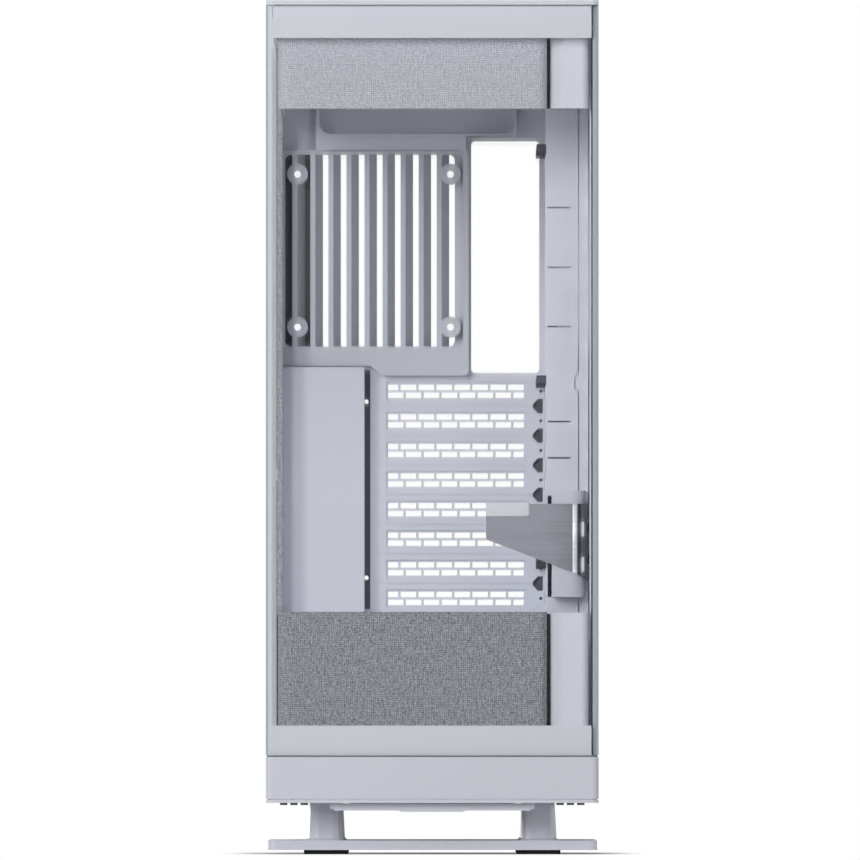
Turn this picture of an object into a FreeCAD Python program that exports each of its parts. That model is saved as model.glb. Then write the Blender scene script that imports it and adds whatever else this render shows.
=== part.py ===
import FreeCAD
import Part
import math
import os

# Computer tower case with a glass front and a glass left side.
# Millimetres. The front faces -Y, +X is the viewer's right, +Z is up, the pads stand on Z = 0.

# Outer size and the stack of heights from the floor up
case_width = 225.0
case_depth = 440.0
pad_thickness = 2.8
foot_bar_thickness = 6.5
foot_post_height = 25.5
base_thickness = 1.6
skirt_height = 29.4
rest_thickness = 1.1
glass_height = 507.0
top_seam = 0.6
top_panel_thickness = 3.0

# Sheet thicknesses and clearances
glass_thickness = 4.0
side_panel_depth = 4.0
sheet = 0.8
rail_sheet = 1.0
cover_gap = 0.8
corner_gap = 0.4
running_clearance = 0.3

# Facets of small round things and of small rounded corners
screw_sides = 6
hole_sides = 12
disc_sides = 20
corner_steps = 3

# Rounding of the outer plan
plan_radius = 4.0
glass_chamfer = 1.6

# Feet
foot_setback = 75.0
foot_end_gap = 0.8
foot_bar_depth = 46.0
foot_bar_radius = 5.0
foot_post_inset = 40.5
foot_post_width = 22.0
foot_post_depth = 32.0
foot_post_spread = 1.2
foot_post_radius = 6.0
foot_flare = 1.5
pad_width = 29.8
pad_depth = 36.0
pad_radius = 3.0

# Screws of the feet
foot_screw_radius = 1.9
foot_screw_head_radius = 3.6
foot_screw_head = 1.8
foot_screw_length = 12.0
foot_screw_spacing = 16.0
screw_clearance = 0.2

# Rivets under the front of the base
rivet_head_radius = 2.6
rivet_head = 1.5
rivet_setback = 12.0
rivet_insets = (12.0, 19.0, 26.0)

# Skirt and the strip that the covers stand on
skirt_wall = 3.0
skirt_groove = 1.0
rest_inset = 0.8
rest_width = 1.6

# Vents in the base and the dust filter under it
base_slot_width = 10.0
base_slot_length = 140.0
base_slot_pitch = 18.0
base_slot_rows = 2
filter_post_gap = 2.4
filter_length = 330.0
filter_thickness = 3.6
filter_rim = 7.0
filter_rib = 3.0
filter_rib_count = 5
filter_mesh_thickness = 0.6
filter_lip_overhang = 15.2
filter_lip_height = 3.7
filter_lip_depth = 11.0
filter_lower_lip_step = 2.7
filter_lower_lip_height = 1.2
filter_tab_half_width = 21.0
filter_tab_height = 0.9
filter_tab_slope = 1.5
filter_front_setback = 9.0
runner_web = 1.6
runner_ledge = 5.0

# Lower chassis and the cover over the power supply
lower_rail_height = 50.7
front_recess = 14.0
left_recess = 3.8
facing_thickness = 2.5
facing_radius = 8.0
shroud_top_height = 127.1
cable_space = 30.1
wall_overlap = 8.0
shroud_slot_length = 60.0
shroud_slot_width = 9.0
shroud_slot_pitch = 17.0
shroud_slot_count = 8

# Top bar and top frame
top_block_height = 22.4
top_bar_drop = 47.4
bar_flange = 16.0
facing_lap = 3.5
top_flange = 11.0
top_left_flange = 2.6
seam_recess = 4.0
top_slot_width = 12.0
top_slot_length = 165.0
top_slot_pitch = 20.0
top_slot_columns = 7
top_slot_rows = 2
top_slot_row_gap = 12.0
top_vent_offset = -12.0

# Rear panel and its openings
rear_inset = 4.0
rear_split_drop = 2.2
io_width = 46.7
io_height = 159.1
io_tray_gap = 4.1
io_top_drop = 86.0
io_radius = 2.6
psu_opening_width = 146.0
psu_opening_height = 82.0
psu_opening_lift = 6.0
psu_opening_left = 30.2
psu_frame_rim = 10.0

# Rear fan grille
fan_hole_margin = 17.3
fan_hole_radius = 2.4
fan_disc_radius = 7.2
fan_window_inset = 6.55
fan_window_gap = 5.65
fan_drop = 161.15
fan_window_height = 131.7
fan_window_radius = 4.0
fan_rim_left = 1.3
fan_rim_right = 3.8
fan_rim_top = 3.0
fan_rim_bottom = 20.0
fan_step_height = 6.7
fan_step_slope = 8.9
fan_plate_depth = 11.0
fan_plate_thickness = 1.5
fan_corner_cut = 2.5
blade_pitch = 12.4
blade_front = 3.4
blade_lean = 5.2
blade_start = 5.0
rear_window_start = 26.1
rear_window_end = 5.65

# Bracket at the top of the rear
bracket_depth = 19.0
bracket_height = 91.1
bracket_left = 27.9
bracket_right_gap = 19.7
bracket_step_x = 34.9
bracket_step_height = 9.7
pocket_margin_left = 2.4
pocket_margin_right = 1.2
pocket_margin_bottom = 11.0
pocket_height = 52.0
pocket_depth = 14.0
pocket_radius = 7.0

# Expansion slots
slot_count = 8
slot_pitch = 20.32
slot_first_drop = 16.5
slot_tip_gap = 0.8
slot_cover_gap = 0.5
slot_left_gap = 7.1
slot_dish_start = 8.2
slot_dish_length = 96.1
slot_dish_height = 12.0
slot_dish_depth = 1.8
slot_dish_wall = 0.8
slot_end_start = 107.9
slot_end_slope = 4.3
slot_end_tip = 116.4
slot_tip_half_height = 5.2
slot_root_cut = 2.2
slot_root_straight = 2.4
slot_root_slope = 3.4
slot_tab_length = 2.7
slot_tab_height = 1.6
slot_tip_hole_radius = 1.2
slot_tip_hole_inset = 2.2
slot_end_margin = 0.8
slot_end_pan_rim = 1.5
slot_end_pan_depth = 3.4
blank_rim = 1.5
blank_thickness = 1.2
brick_width = 10.6
brick_short = 7.0
brick_height = 3.7
brick_web = 1.72
brick_full = 7
brick_margin = 1.0
slot_screw_radius = 1.5
slot_screw_head_radius = 2.6
slot_screw_head = 1.6
slot_screw_inset = 3.2

# Plate left of the slots, and the door over the slot screws outside
screw_cover_left = 5.2
screw_cover_lift = 1.7
screw_cover_height = 168.1
screw_cover_depth = 17.0
screw_cover_radius = 1.4
channel_hole_radius = 1.5
channel_hole_inset = 1.5
channel_hole_end = 23.6
door_left_margin = 3.0
door_rear_gap = 0.5
door_height_margin = 2.0

# Motherboard tray
tray_reach = 281.0
standoff_height = 6.5
standoff_radius = 3.3
standoff_sides = 6
standoff_hole_radius = 1.45
standoff_hole_depth = 5.0
board_row_drop = 94.7
board_rows = (0.0, 157.48, 281.94)
board_column_inset = 12.0
board_columns = (0.0, 154.94, 227.33)
cpu_window_drop = 112.0
cpu_window_height = 100.0
cpu_window_inset = 30.0
cpu_window_width = 118.0
cable_slot_width = 18.0
cable_slot_height = 84.0
cable_slot_count = 3
cable_slot_inset = 8.0
cable_slot_pitch = 104.0
cable_slot_lift = 30.0
hole_radius = 3.0

# Cable cover and rail behind the right corner
cover_width = 21.6
cover_rail_gap = 0.6
cover_rail_width = 6.3
cover_rail_return = 26.0
cover_slit_height = 1.0
cover_slit_start = 0.9
cover_slit_length = 15.5
cover_slit_levels = (105.1, 129.8, 194.4, 234.7, 275.3)
cover_lip = 0.7
cover_lip_bottom = 161.9
cover_lip_top = 307.8
cover_notch = 2.5
cover_notch_bottom = 153.15
cover_notch_height = 7.8
cover_slot_width = 2.7
cover_slot_bottom = 11.0
cover_slot_height = 69.0

# Corner trims and light strips at the front right
trim_gap = 2.6
trim_width = 25.9
trim_slope_width = 8.9
trim_slope_depth = 5.0
trim_round = 5.5
trim_sheet = 2.0
trim_return = 8.0
light_strip_width = 2.2
light_strip_depth = 6.0
light_strip_inset = 7.0

# Fan bracket inside the right side
bracket_front = 30.0
bracket_arm_gap = 5.0
bracket_slot_margin = 9.0
bracket_slot_height = 20.0
bracket_slot_pitch = 34.0
bracket_slot_rows = 13

# Holder for a graphics card
clip_left_gap = 3.8
clip_width = 22.4
clip_depth = 19.5
clip_lift = 11.0
clip_height = 72.4
clip_corner_radius = 9.0
arm_sheet = 1.6
arm_side_gap = 1.9
arm_reach = 69.3
arm_outer_radius = 11.0
arm_flange = 10.0
arm_top_lift = 74.2
arm_root_height = 51.7
arm_knee_reach = 8.8
arm_knee_rise = 4.7
arm_tip_height = 16.0
arm_tip_cut = 1.4
arm_tip_cut_rise = 1.2
pad_reach = 30.0
pad_rise = 9.8
pad_sink = 8.7
pad_front = 1.5
pad_run = 32.0
arm_screw_radius = 1.4
arm_screw_head_radius = 3.2
arm_screw_head = 1.2
arm_screw_length = 6.0
arm_screw_drops = (16.0, 38.0)
arm_travel_down = 8.0
arm_travel_up = 15.0
arm_screw_inset = 4.5

# Right side panel
panel_flange = 9.0
panel_front_fold = 5.0
panel_slot_length = 108.0
panel_slot_height = 10.0
panel_slot_pitch = 24.0
panel_slot_rows = 14
panel_slot_front = 24.0
panel_slot_lift = 70.0

# Top panel and the vent plate let into it
top_panel_radius = 4.0
vent_left_margin = 20.5
vent_right_gap = 23.0
vent_end_margin = 51.5
vent_thickness = 1.5
vent_ledge = 3.0
vent_rim = 6.0
lid_slot_width = 9.0
lid_slot_pitch = 18.0

# Connections at the front of the top
bezel_width = 16.0
bezel_length = 112.0
bezel_depth = 10.0
bezel_front = 31.0
bezel_from_right = 8.2
bezel_flange = 3.5
bezel_flange_thickness = 1.5
bezel_radius = 3.0
button_radius = 5.6
button_clearance = 0.2
button_height = 5.0
button_travel = 1.2
reset_radius = 3.2
power_place = 10.0
reset_place = 26.0
jack_place = 40.0
jack_radius = 1.8
usb_places = (56.0, 76.0)
usb_width = 5.6
usb_length = 13.1
usb_tongue = 1.8
usb_tongue_side = 1.0
type_c_place = 95.0
type_c_width = 3.4
type_c_length = 9.0
socket_depth = 8.0

# Pieces inside the lower chamber and behind the tray
psu_pad_width = 12.0
psu_pad_length = 150.0
psu_pad_thickness = 3.0
psu_pad_spacing = 90.0
psu_pad_back = 20.0
ssd_length = 102.0
ssd_height = 78.0
ssd_stand = 7.0
ssd_foot = 9.0
ssd_rows = (62.0, 158.0)
ssd_back = 40.0

# Pillar at the rear left and the catch of the glass
pillar_recess = 1.9
pillar_facing = 1.6
pillar_depth = 40.0
pillar_return = 1.6
pillar_facing_gap = 0.3
seal_thickness = 1.1
seal_depth = 6.0
catch_lift = 91.8
catch_height = 7.5
catch_depth = 10.0
catch_reach = 2.0
catch_back = 34.0

# Levels and planes that the pieces share
half_width = case_width / 2
post_middle = half_width - foot_post_inset
post_inner = post_middle - foot_post_width / 2 - foot_post_spread - foot_flare
filter_half_width = post_inner - filter_post_gap - runner_web - running_clearance
front = -case_depth / 2
back = case_depth / 2
bar_bottom = pad_thickness
bar_top = bar_bottom + foot_bar_thickness
base_bottom = bar_top + foot_post_height
base_top = base_bottom + base_thickness
skirt_top = base_top + skirt_height
glass_bottom = skirt_top + rest_thickness
glass_top = glass_bottom + glass_height
frame_top = glass_top + top_seam
lid_top = frame_top + top_panel_thickness
web_bottom = frame_top - rail_sheet
left = -half_width + glass_thickness + cover_gap
right = half_width - side_panel_depth - cover_gap
chassis_front = front + glass_thickness + cover_gap
rear_out = back - rear_inset
rear_in = rear_out - sheet
rail_top = base_top + lower_rail_height
facing_front = chassis_front + front_recess
facing_left = left + left_recess
wall_front = facing_front + facing_thickness
wall_left = facing_left + facing_thickness
wall_radius = facing_radius - facing_thickness
shroud_top = base_top + shroud_top_height
block_bottom = frame_top - top_block_height
bar_low = block_bottom - top_bar_drop
tray_face = right - cable_space
tray_front = rear_in - tray_reach
io_right = tray_face - io_tray_gap
io_left = io_right - io_width
io_top = frame_top - io_top_drop
io_bottom = io_top - io_height
rear_split = io_bottom - rear_split_drop
fan_left = left + fan_window_inset
fan_right = io_left - fan_window_gap
fan_x = (fan_left + fan_right) / 2
fan_hole_spacing = fan_right - fan_left - fan_hole_margin
fan_z = frame_top - fan_drop
psu_left = left + psu_opening_left
psu_right = psu_left + psu_opening_width
psu_low = base_top + psu_opening_lift
psu_high = psu_low + psu_opening_height
screw_cover_low = shroud_top + screw_cover_lift
screw_cover_high = screw_cover_low + screw_cover_height
slot_left = tray_face - slot_tip_gap - slot_end_tip
slot_first = screw_cover_high - slot_first_drop
cover_plate_left = left + screw_cover_left
cover_plate_right = slot_left - slot_left_gap
door_high = screw_cover_high + door_height_margin
door_low = shroud_top - door_height_margin
board_top = frame_top - board_row_drop
board_back = rear_in - board_column_inset
bezel_right = right - bezel_from_right
bezel_left = bezel_right - bezel_width
vent_x = (-half_width + vent_left_margin, bezel_left - vent_right_gap)
vent_y = (front + vent_end_margin, back - vent_end_margin)
bezel_start = chassis_front + bezel_front
bezel_end = bezel_start + bezel_length
trim_left = tray_face + trim_gap
trim_right = trim_left + trim_width
cover_back = tray_front
cover_face = cover_back - rail_sheet
cover_right = tray_face + cover_width
pillar_face = left + pillar_recess
pillar_wall = pillar_face + pillar_facing
pillar_front = rear_in - pillar_depth - pillar_facing
arm_right = right - arm_side_gap
arm_back = cover_face - clip_depth - running_clearance
arm_front = arm_back - arm_sheet
arm_top = shroud_top + arm_top_lift
arm_left = arm_right - arm_reach


def solid_box(x, y, z):
    """Return a box that runs between the two values of each pair."""
    corner = FreeCAD.Vector(x[0], y[0], z[0])
    return Part.makeBox(x[1] - x[0], y[1] - y[0], z[1] - z[0], corner)


def rod_z(x, y, z, radius):
    """Return a round bar along Z between the two values of the pair z."""
    return Part.makeCylinder(radius, z[1] - z[0], FreeCAD.Vector(x, y, z[0]))


def rod_x(x, y, z, radius):
    """Return a round bar along X between the two values of the pair x."""
    return Part.makeCylinder(radius, x[1] - x[0], FreeCAD.Vector(x[0], y, z), FreeCAD.Vector(1, 0, 0))


def rod_y(x, y, z, radius):
    """Return a round bar along Y between the two values of the pair y."""
    return Part.makeCylinder(radius, y[1] - y[0], FreeCAD.Vector(x, y[0], z), FreeCAD.Vector(0, 1, 0))


def joined(shapes):
    """Return the pieces of one folded or moulded thing as one solid."""
    return shapes[0].multiFuse(shapes[1:]).removeSplitter()


def polygon(points):
    """Return a closed flat outline through the points."""
    ring = [FreeCAD.Vector(u, v, 0) for u, v in points]
    return Part.makePolygon(ring + ring[:1])


def ring(u, v, radius, sides):
    """Return a small round outline drawn with a few equal sides."""
    turns = [2 * math.pi * (number + 1 / 2) / sides for number in range(sides)]
    return polygon([(u + radius * math.cos(turn), v + radius * math.sin(turn)) for turn in turns])


def arc(centre, radius, start, end):
    """Return an arc edge between two angles in degrees."""
    places = []
    for angle in (start, (start + end) / 2, end):
        turn = math.radians(angle)
        u = centre[0] + radius * math.cos(turn)
        v = centre[1] + radius * math.sin(turn)
        places.append(FreeCAD.Vector(u, v, 0))
    return Part.Arc(places[0], places[1], places[2]).toShape()


def line(start, end):
    """Return a straight edge between two flat points."""
    return Part.makeLine(FreeCAD.Vector(start[0], start[1], 0), FreeCAD.Vector(end[0], end[1], 0))


def rounded(u, v, radius):
    """Return a rectangle outline with four round corners."""
    u_in = (u[0] + radius, u[1] - radius)
    v_in = (v[0] + radius, v[1] - radius)
    edges = [
        line((u_in[0], v[0]), (u_in[1], v[0])),
        arc((u_in[1], v_in[0]), radius, -90, 0),
        line((u[1], v_in[0]), (u[1], v_in[1])),
        arc((u_in[1], v_in[1]), radius, 0, 90),
        line((u_in[1], v[1]), (u_in[0], v[1])),
        arc((u_in[0], v_in[1]), radius, 90, 180),
        line((u[0], v_in[1]), (u[0], v_in[0])),
        arc((u_in[0], v_in[0]), radius, 180, 270),
    ]
    return Part.Wire(edges)


def eased(u, v, radius):
    """Return a rectangle outline whose small corners turn in a few straight steps."""
    low = (u[0] + radius, v[0] + radius)
    high = (u[1] - radius, v[1] - radius)
    corners = [(high[0], low[1], -90), (high[0], high[1], 0), (low[0], high[1], 90), (low[0], low[1], 180)]
    places = []
    for centre_u, centre_v, start in corners:
        for number in range(corner_steps + 1):
            turn = math.radians(start + 90 * number / corner_steps)
            places.append((centre_u + radius * math.cos(turn), centre_v + radius * math.sin(turn)))
    return polygon(places)


def rectangle(u, v):
    """Return a rectangle outline with sharp corners."""
    return polygon([(u[0], v[0]), (u[1], v[0]), (u[1], v[1]), (u[0], v[1])])


def slot_field(centre, size, pitch, counts):
    """Return rows and columns of equal rectangles about a centre."""
    wires = []
    for column in range(counts[0]):
        u = centre[0] + (column - (counts[0] - 1) / 2) * pitch[0]
        for row in range(counts[1]):
            v = centre[1] + (row - (counts[1] - 1) / 2) * pitch[1]
            wires.append(rectangle((u - size[0] / 2, u + size[0] / 2), (v - size[1] / 2, v + size[1] / 2)))
    return wires


def plate_z(z, outer, holes=()):
    """Return a flat plate between two heights, with its outline given in X and Y."""
    face = Part.makeFace([outer] + list(holes), "Part::FaceMakerBullseye")
    solid = face.extrude(FreeCAD.Vector(0, 0, z[1] - z[0]))
    solid.translate(FreeCAD.Vector(0, 0, z[0]))
    return solid


def plate_y(y, outer, holes=()):
    """Return an upright plate between two depths, with its outline given in X and Z."""
    solid = plate_z((0, y[1] - y[0]), outer, holes)
    solid.rotate(FreeCAD.Vector(), FreeCAD.Vector(1, 0, 0), 90)
    solid.translate(FreeCAD.Vector(0, y[1], 0))
    return solid


def plate_x(x, outer, holes=()):
    """Return an upright plate between two widths, with its outline given in Y and Z."""
    solid = plate_z((0, x[1] - x[0]), outer, holes)
    solid.rotate(FreeCAD.Vector(), FreeCAD.Vector(1, 1, 1), 120)
    solid.translate(FreeCAD.Vector(x[0], 0, 0))
    return solid


def corner_wall(x, y, thickness, radius, z):
    """Return a wall along the front and the left side with a round front corner."""
    centre = (x[0] + radius, y[0] + radius)
    inner = radius - thickness
    edges = [
        line((x[1], y[0]), (centre[0], y[0])),
        arc(centre, radius, 270, 180),
        line((x[0], centre[1]), (x[0], y[1])),
        line((x[0], y[1]), (x[0] + thickness, y[1])),
        line((x[0] + thickness, y[1]), (x[0] + thickness, centre[1])),
        arc(centre, inner, 180, 270),
        line((centre[0], y[0] + thickness), (x[1], y[0] + thickness)),
        line((x[1], y[0] + thickness), (x[1], y[0])),
    ]
    return plate_z(z, Part.Wire(edges))


def three_sided_wall(x, y, thickness, radius, z):
    """Return a wall along the left, front and right, open at the rear."""
    low = y[0] + radius
    edges = [
        line((x[0], y[1]), (x[0], low)),
        arc((x[0] + radius, low), radius, 180, 270),
        line((x[0] + radius, y[0]), (x[1] - radius, y[0])),
        arc((x[1] - radius, low), radius, 270, 360),
        line((x[1], low), (x[1], y[1])),
        line((x[1], y[1]), (x[1] - thickness, y[1])),
        line((x[1] - thickness, y[1]), (x[1] - thickness, y[0] + thickness)),
        line((x[1] - thickness, y[0] + thickness), (x[0] + thickness, y[0] + thickness)),
        line((x[0] + thickness, y[0] + thickness), (x[0] + thickness, y[1])),
        line((x[0] + thickness, y[1]), (x[0], y[1])),
    ]
    return plate_z(z, Part.Wire(edges))


def post_places(foot_y):
    """Return the two post centres of a foot."""
    return [(-post_middle, foot_y), (post_middle, foot_y)]


def foot_screw_places():
    """Return the places of the screws that hold the feet."""
    places = []
    for foot_y in (front + foot_setback, back - foot_setback):
        for x, y in post_places(foot_y):
            places.append((x, y - foot_screw_spacing / 2))
            places.append((x, y + foot_screw_spacing / 2))
    return places


def post_section(x, y, z, extra):
    """Return the rounded outline of a post at one height, wider by an amount on every side."""
    half_x = foot_post_width / 2 + extra
    half_y = foot_post_depth / 2 + extra
    wire = eased((x - half_x, x + half_x), (y - half_y, y + half_y), foot_post_radius + extra)
    wire.translate(FreeCAD.Vector(0, 0, z))
    return wire


def foot(foot_y):
    """Return a foot bar with two tapered posts that flare into it."""
    half_length = half_width - foot_end_gap
    half_depth = foot_bar_depth / 2
    span = (foot_y - half_depth, foot_y + half_depth)
    outline = eased((-half_length, half_length), span, foot_bar_radius)
    solids = [plate_z((bar_bottom, bar_top), outline)]
    for x, y in post_places(foot_y):
        flare_top = bar_top + foot_flare
        low = post_section(x, y, bar_top, foot_post_spread + foot_flare)
        middle = post_section(x, y, flare_top, foot_post_spread)
        high = post_section(x, y, base_bottom, 0.0)
        solids.append(Part.makeLoft([low, middle], True, True))
        solids.append(Part.makeLoft([middle, high], True, True))
    bores = []
    for x, y in foot_screw_places():
        depth = base_bottom - foot_screw_length - screw_clearance
        bores.append(plate_z((depth, base_top), ring(x, y, foot_screw_radius + screw_clearance, screw_sides)))
    return joined(solids).cut(Part.makeCompound(bores))


def foot_pads():
    """Return the four rubber pads under the feet."""
    pads = []
    for foot_y in (front + foot_setback, back - foot_setback):
        for x, y in post_places(foot_y):
            span_x = (x - pad_width / 2, x + pad_width / 2)
            span_y = (y - pad_depth / 2, y + pad_depth / 2)
            pads.append(plate_z((0, pad_thickness), eased(span_x, span_y, pad_radius)))
    return Part.makeCompound(pads)


def foot_screws():
    """Return the screws that pass down through the base into the posts."""
    screws = []
    for x, y in foot_screw_places():
        shank = ring(x, y, foot_screw_radius, screw_sides)
        head = ring(x, y, foot_screw_head_radius, screw_sides)
        body = plate_z((base_bottom - foot_screw_length, base_top), shank)
        screws.append(body.fuse(plate_z((base_top, base_top + foot_screw_head), head)))
    return Part.makeCompound(screws)


def rivet_places():
    """Return the places of the rivets under the front corners of the base."""
    y = front + rivet_setback
    return [(side * (half_width - inset), y) for side in (-1, 1) for inset in rivet_insets]


def base_rivets():
    """Return the heads of the rivets under the base."""
    z = (base_bottom - rivet_head, base_bottom)
    outlines = [ring(x, y, rivet_head_radius, hole_sides) for x, y in rivet_places()]
    return Part.makeCompound([plate_z(z, outline) for outline in outlines])


def base_plate():
    """Return the floor sheet with its intake slots and screw holes."""
    columns = int(2 * (filter_half_width - filter_rim) / base_slot_pitch)
    holes = slot_field((0, front + filter_front_setback + filter_lip_depth + filter_length / 2),
                       (base_slot_width, base_slot_length),
                       (base_slot_pitch, filter_length / base_slot_rows), (columns, base_slot_rows))
    for x, y in foot_screw_places():
        holes.append(ring(x, y, foot_screw_radius + screw_clearance, screw_sides))
    outline = rounded((-half_width, half_width), (front, back), plan_radius)
    return plate_z((base_bottom, base_top), outline, holes)


def filter_levels():
    """Return the bottom and top of the filter frame."""
    top = base_bottom - running_clearance
    return (top - filter_thickness, top)


def filter_span():
    """Return the front and rear of the filter frame behind its lip."""
    start = front + filter_front_setback + filter_lip_depth
    return (start, start + filter_length)


def filter_runners():
    """Return the two angled runners that carry the filter under the base."""
    low = filter_levels()[0] - running_clearance
    inner = filter_half_width + running_clearance
    y = (filter_span()[0] + running_clearance, filter_span()[1])
    runners = []
    for side in (-1, 1):
        web = sorted((side * inner, side * (inner + runner_web)))
        ledge = sorted((side * (inner - runner_ledge), side * (inner + runner_web)))
        upright = solid_box(web, y, (low - sheet, base_bottom))
        shelf = solid_box(ledge, y, (low - sheet, low))
        runners.append(joined([upright, shelf]))
    return Part.makeCompound(runners)


def dust_filter_frame():
    """Return the filter frame with its ribs, front lip and finger tab."""
    z = filter_levels()
    y = filter_span()
    cell = (filter_length - 2 * filter_rim - (filter_rib_count - 1) * filter_rib) / filter_rib_count
    windows = []
    for place in range(filter_rib_count):
        start = y[0] + filter_rim + place * (cell + filter_rib)
        windows.append(rectangle((-filter_half_width + filter_rim, filter_half_width - filter_rim),
                                 (start, start + cell)))
    body = plate_z(z, rectangle((-filter_half_width, filter_half_width), y), windows)
    lip_y = (y[0] - filter_lip_depth, y[0])
    lip_low = z[1] - filter_lip_height
    second_low = lip_low - filter_lower_lip_height
    tab_low = second_low - filter_tab_height
    wide = filter_half_width + filter_lip_overhang
    narrow = wide - filter_lower_lip_step
    lip = solid_box((-wide, wide), lip_y, (lip_low, z[1]))
    second = solid_box((-narrow, narrow), lip_y, (second_low, lip_low))
    tab_wide = filter_tab_half_width + filter_tab_slope
    tab = plate_y(lip_y, polygon([(-filter_tab_half_width, tab_low), (filter_tab_half_width, tab_low),
                                  (tab_wide, second_low), (-tab_wide, second_low)]))
    groove_z = (z[0] + filter_thickness / 2 - filter_mesh_thickness / 2,
                z[0] + filter_thickness / 2 + filter_mesh_thickness / 2)
    groove = solid_box((-filter_half_width + filter_rim / 2, filter_half_width - filter_rim / 2),
                       (y[0] + filter_rim / 2, y[1] - filter_rim / 2), groove_z)
    return joined([body, lip, second, tab]).cut(groove)


def dust_filter_mesh():
    """Return the mesh sheet held in the groove of the filter frame."""
    z = filter_levels()
    y = filter_span()
    middle = (z[0] + z[1]) / 2
    half = filter_mesh_thickness / 2
    edge = filter_rim / 2
    return solid_box((-filter_half_width + edge, filter_half_width - edge), (y[0] + edge, y[1] - edge),
                     (middle - half, middle + half))


def base_skirt():
    """Return the band round the base with a fine groove along its foot."""
    groove_x = (-half_width + skirt_groove, half_width - skirt_groove)
    groove = three_sided_wall(groove_x, (front + skirt_groove, back), skirt_wall - skirt_groove, plan_radius,
                              (base_top, base_top + skirt_groove))
    band = three_sided_wall((-half_width, half_width), (front, back), skirt_wall, plan_radius,
                            (base_top + skirt_groove, skirt_top))
    return joined([groove, band])


def panel_rests():
    """Return the rubber strip on the skirt under the glass and the side panel."""
    return three_sided_wall((-half_width + rest_inset, half_width - rest_inset), (front + rest_inset, back),
                            rest_width, plan_radius, (skirt_top, glass_bottom))


def lower_rail():
    """Return the folded rail round the floor with a shelf along the front and the left."""
    z = (base_top, rail_top)
    shelf = (rail_top - rail_sheet, rail_top)
    depth = (chassis_front, rear_in)
    return joined([
        solid_box((left, right), (chassis_front, chassis_front + rail_sheet), z),
        solid_box((left, left + rail_sheet), depth, z),
        solid_box((right - rail_sheet, right), depth, z),
        solid_box((left, right), (chassis_front, wall_front), shelf),
        solid_box((left, wall_left), depth, shelf),
    ])


def psu_shroud():
    """Return the folded cover over the lower chamber, open below and to the right."""
    centre = (wall_left + wall_radius, wall_front + wall_radius)
    foot_edge = tray_face + sheet
    top_outline = Part.Wire([
        line((centre[0], wall_front), (tray_face, wall_front)),
        line((tray_face, wall_front), (tray_face, tray_front)),
        line((tray_face, tray_front), (foot_edge, tray_front)),
        line((foot_edge, tray_front), (foot_edge, rear_in)),
        line((foot_edge, rear_in), (wall_left, rear_in)),
        line((wall_left, rear_in), (wall_left, centre[1])),
        arc(centre, wall_radius, 180, 270),
    ])
    span = tray_front - wall_front
    vents = slot_field(((wall_left + tray_face) / 2, wall_front + span / 2),
                       (shroud_slot_width, shroud_slot_length), (shroud_slot_pitch, shroud_slot_length),
                       (shroud_slot_count, 1))
    z = (base_top, shroud_top)
    return joined([
        plate_z((shroud_top - sheet, shroud_top), top_outline, vents),
        corner_wall((wall_left, tray_face), (wall_front, rear_in), sheet, wall_radius, z),
        solid_box((tray_face - sheet, tray_face), (wall_front, tray_front + wall_overlap), z),
    ])


def shroud_fabric():
    """Return the fabric facing round the front and left of the lower cover."""
    return corner_wall((facing_left, tray_face), (facing_front, rear_in), facing_thickness, facing_radius,
                       (rail_top, shroud_top))


def top_bar():
    """Return the folded bar that hangs from the top frame along the front and the left."""
    shelf = (bar_low, bar_low + sheet)
    start = wall_left + wall_radius
    return joined([
        corner_wall((wall_left, tray_face), (wall_front, rear_in), sheet, wall_radius, (bar_low, web_bottom)),
        solid_box((start, tray_face), (wall_front, wall_front + bar_flange), shelf),
    ])


def top_fabric():
    """Return the fabric facing round the front and left of the top bar."""
    end = pillar_front - pillar_facing_gap
    return corner_wall((facing_left, tray_face), (facing_front, end), facing_thickness, facing_radius,
                       (bar_low, block_bottom + facing_lap))


def bezel_hole(margin):
    """Return the outline of the connection strip, larger by a margin."""
    return eased((bezel_left - margin, bezel_right + margin), (bezel_start - margin, bezel_end + margin),
                 bezel_radius + margin)


def top_frame():
    """Return the tray-shaped frame at the top with its fan slots."""
    depth = (chassis_front, rear_in)
    z = (block_bottom, frame_top)
    shelf = (block_bottom, block_bottom + rail_sheet)
    rows = slot_field((top_vent_offset, 0), (top_slot_width, top_slot_length),
                      (top_slot_pitch, top_slot_length + top_slot_row_gap),
                      (top_slot_columns, top_slot_rows))
    web = plate_z((web_bottom, frame_top), rectangle((left, right), (chassis_front + seam_recess, rear_in)),
                  rows + [bezel_hole(running_clearance)])
    return joined([
        web,
        solid_box((left, right), (chassis_front, chassis_front + rail_sheet), (block_bottom, glass_top)),
        solid_box((left, left + rail_sheet), depth, z),
        solid_box((right - rail_sheet, right), depth, z),
        solid_box((left, right), (chassis_front, chassis_front + top_flange), shelf),
        solid_box((left, left + top_left_flange), depth, shelf),
    ])


def fan_hole_places():
    """Return the four screw places of the rear fan in X and Z."""
    half = fan_hole_spacing / 2
    return [(fan_x + sx * half, fan_z + sz * half) for sx in (-1, 1) for sz in (-1, 1)]


def fan_window():
    """Return the X and Z spans of the rear fan window."""
    return ((fan_left, fan_right), (fan_z - fan_window_height / 2, fan_z + fan_window_height / 2))


def slot_heights():
    """Return the middle height of each expansion slot from the top down."""
    return [slot_first - number * slot_pitch for number in range(slot_count)]


def slot_dish(centre, margin):
    """Return the pair of X and Z spans of a slot dish, larger by a margin."""
    start = slot_left + slot_dish_start
    half = slot_dish_height / 2 + margin
    return ((start - margin, start + slot_dish_length + margin), (centre - half, centre + half))


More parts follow.
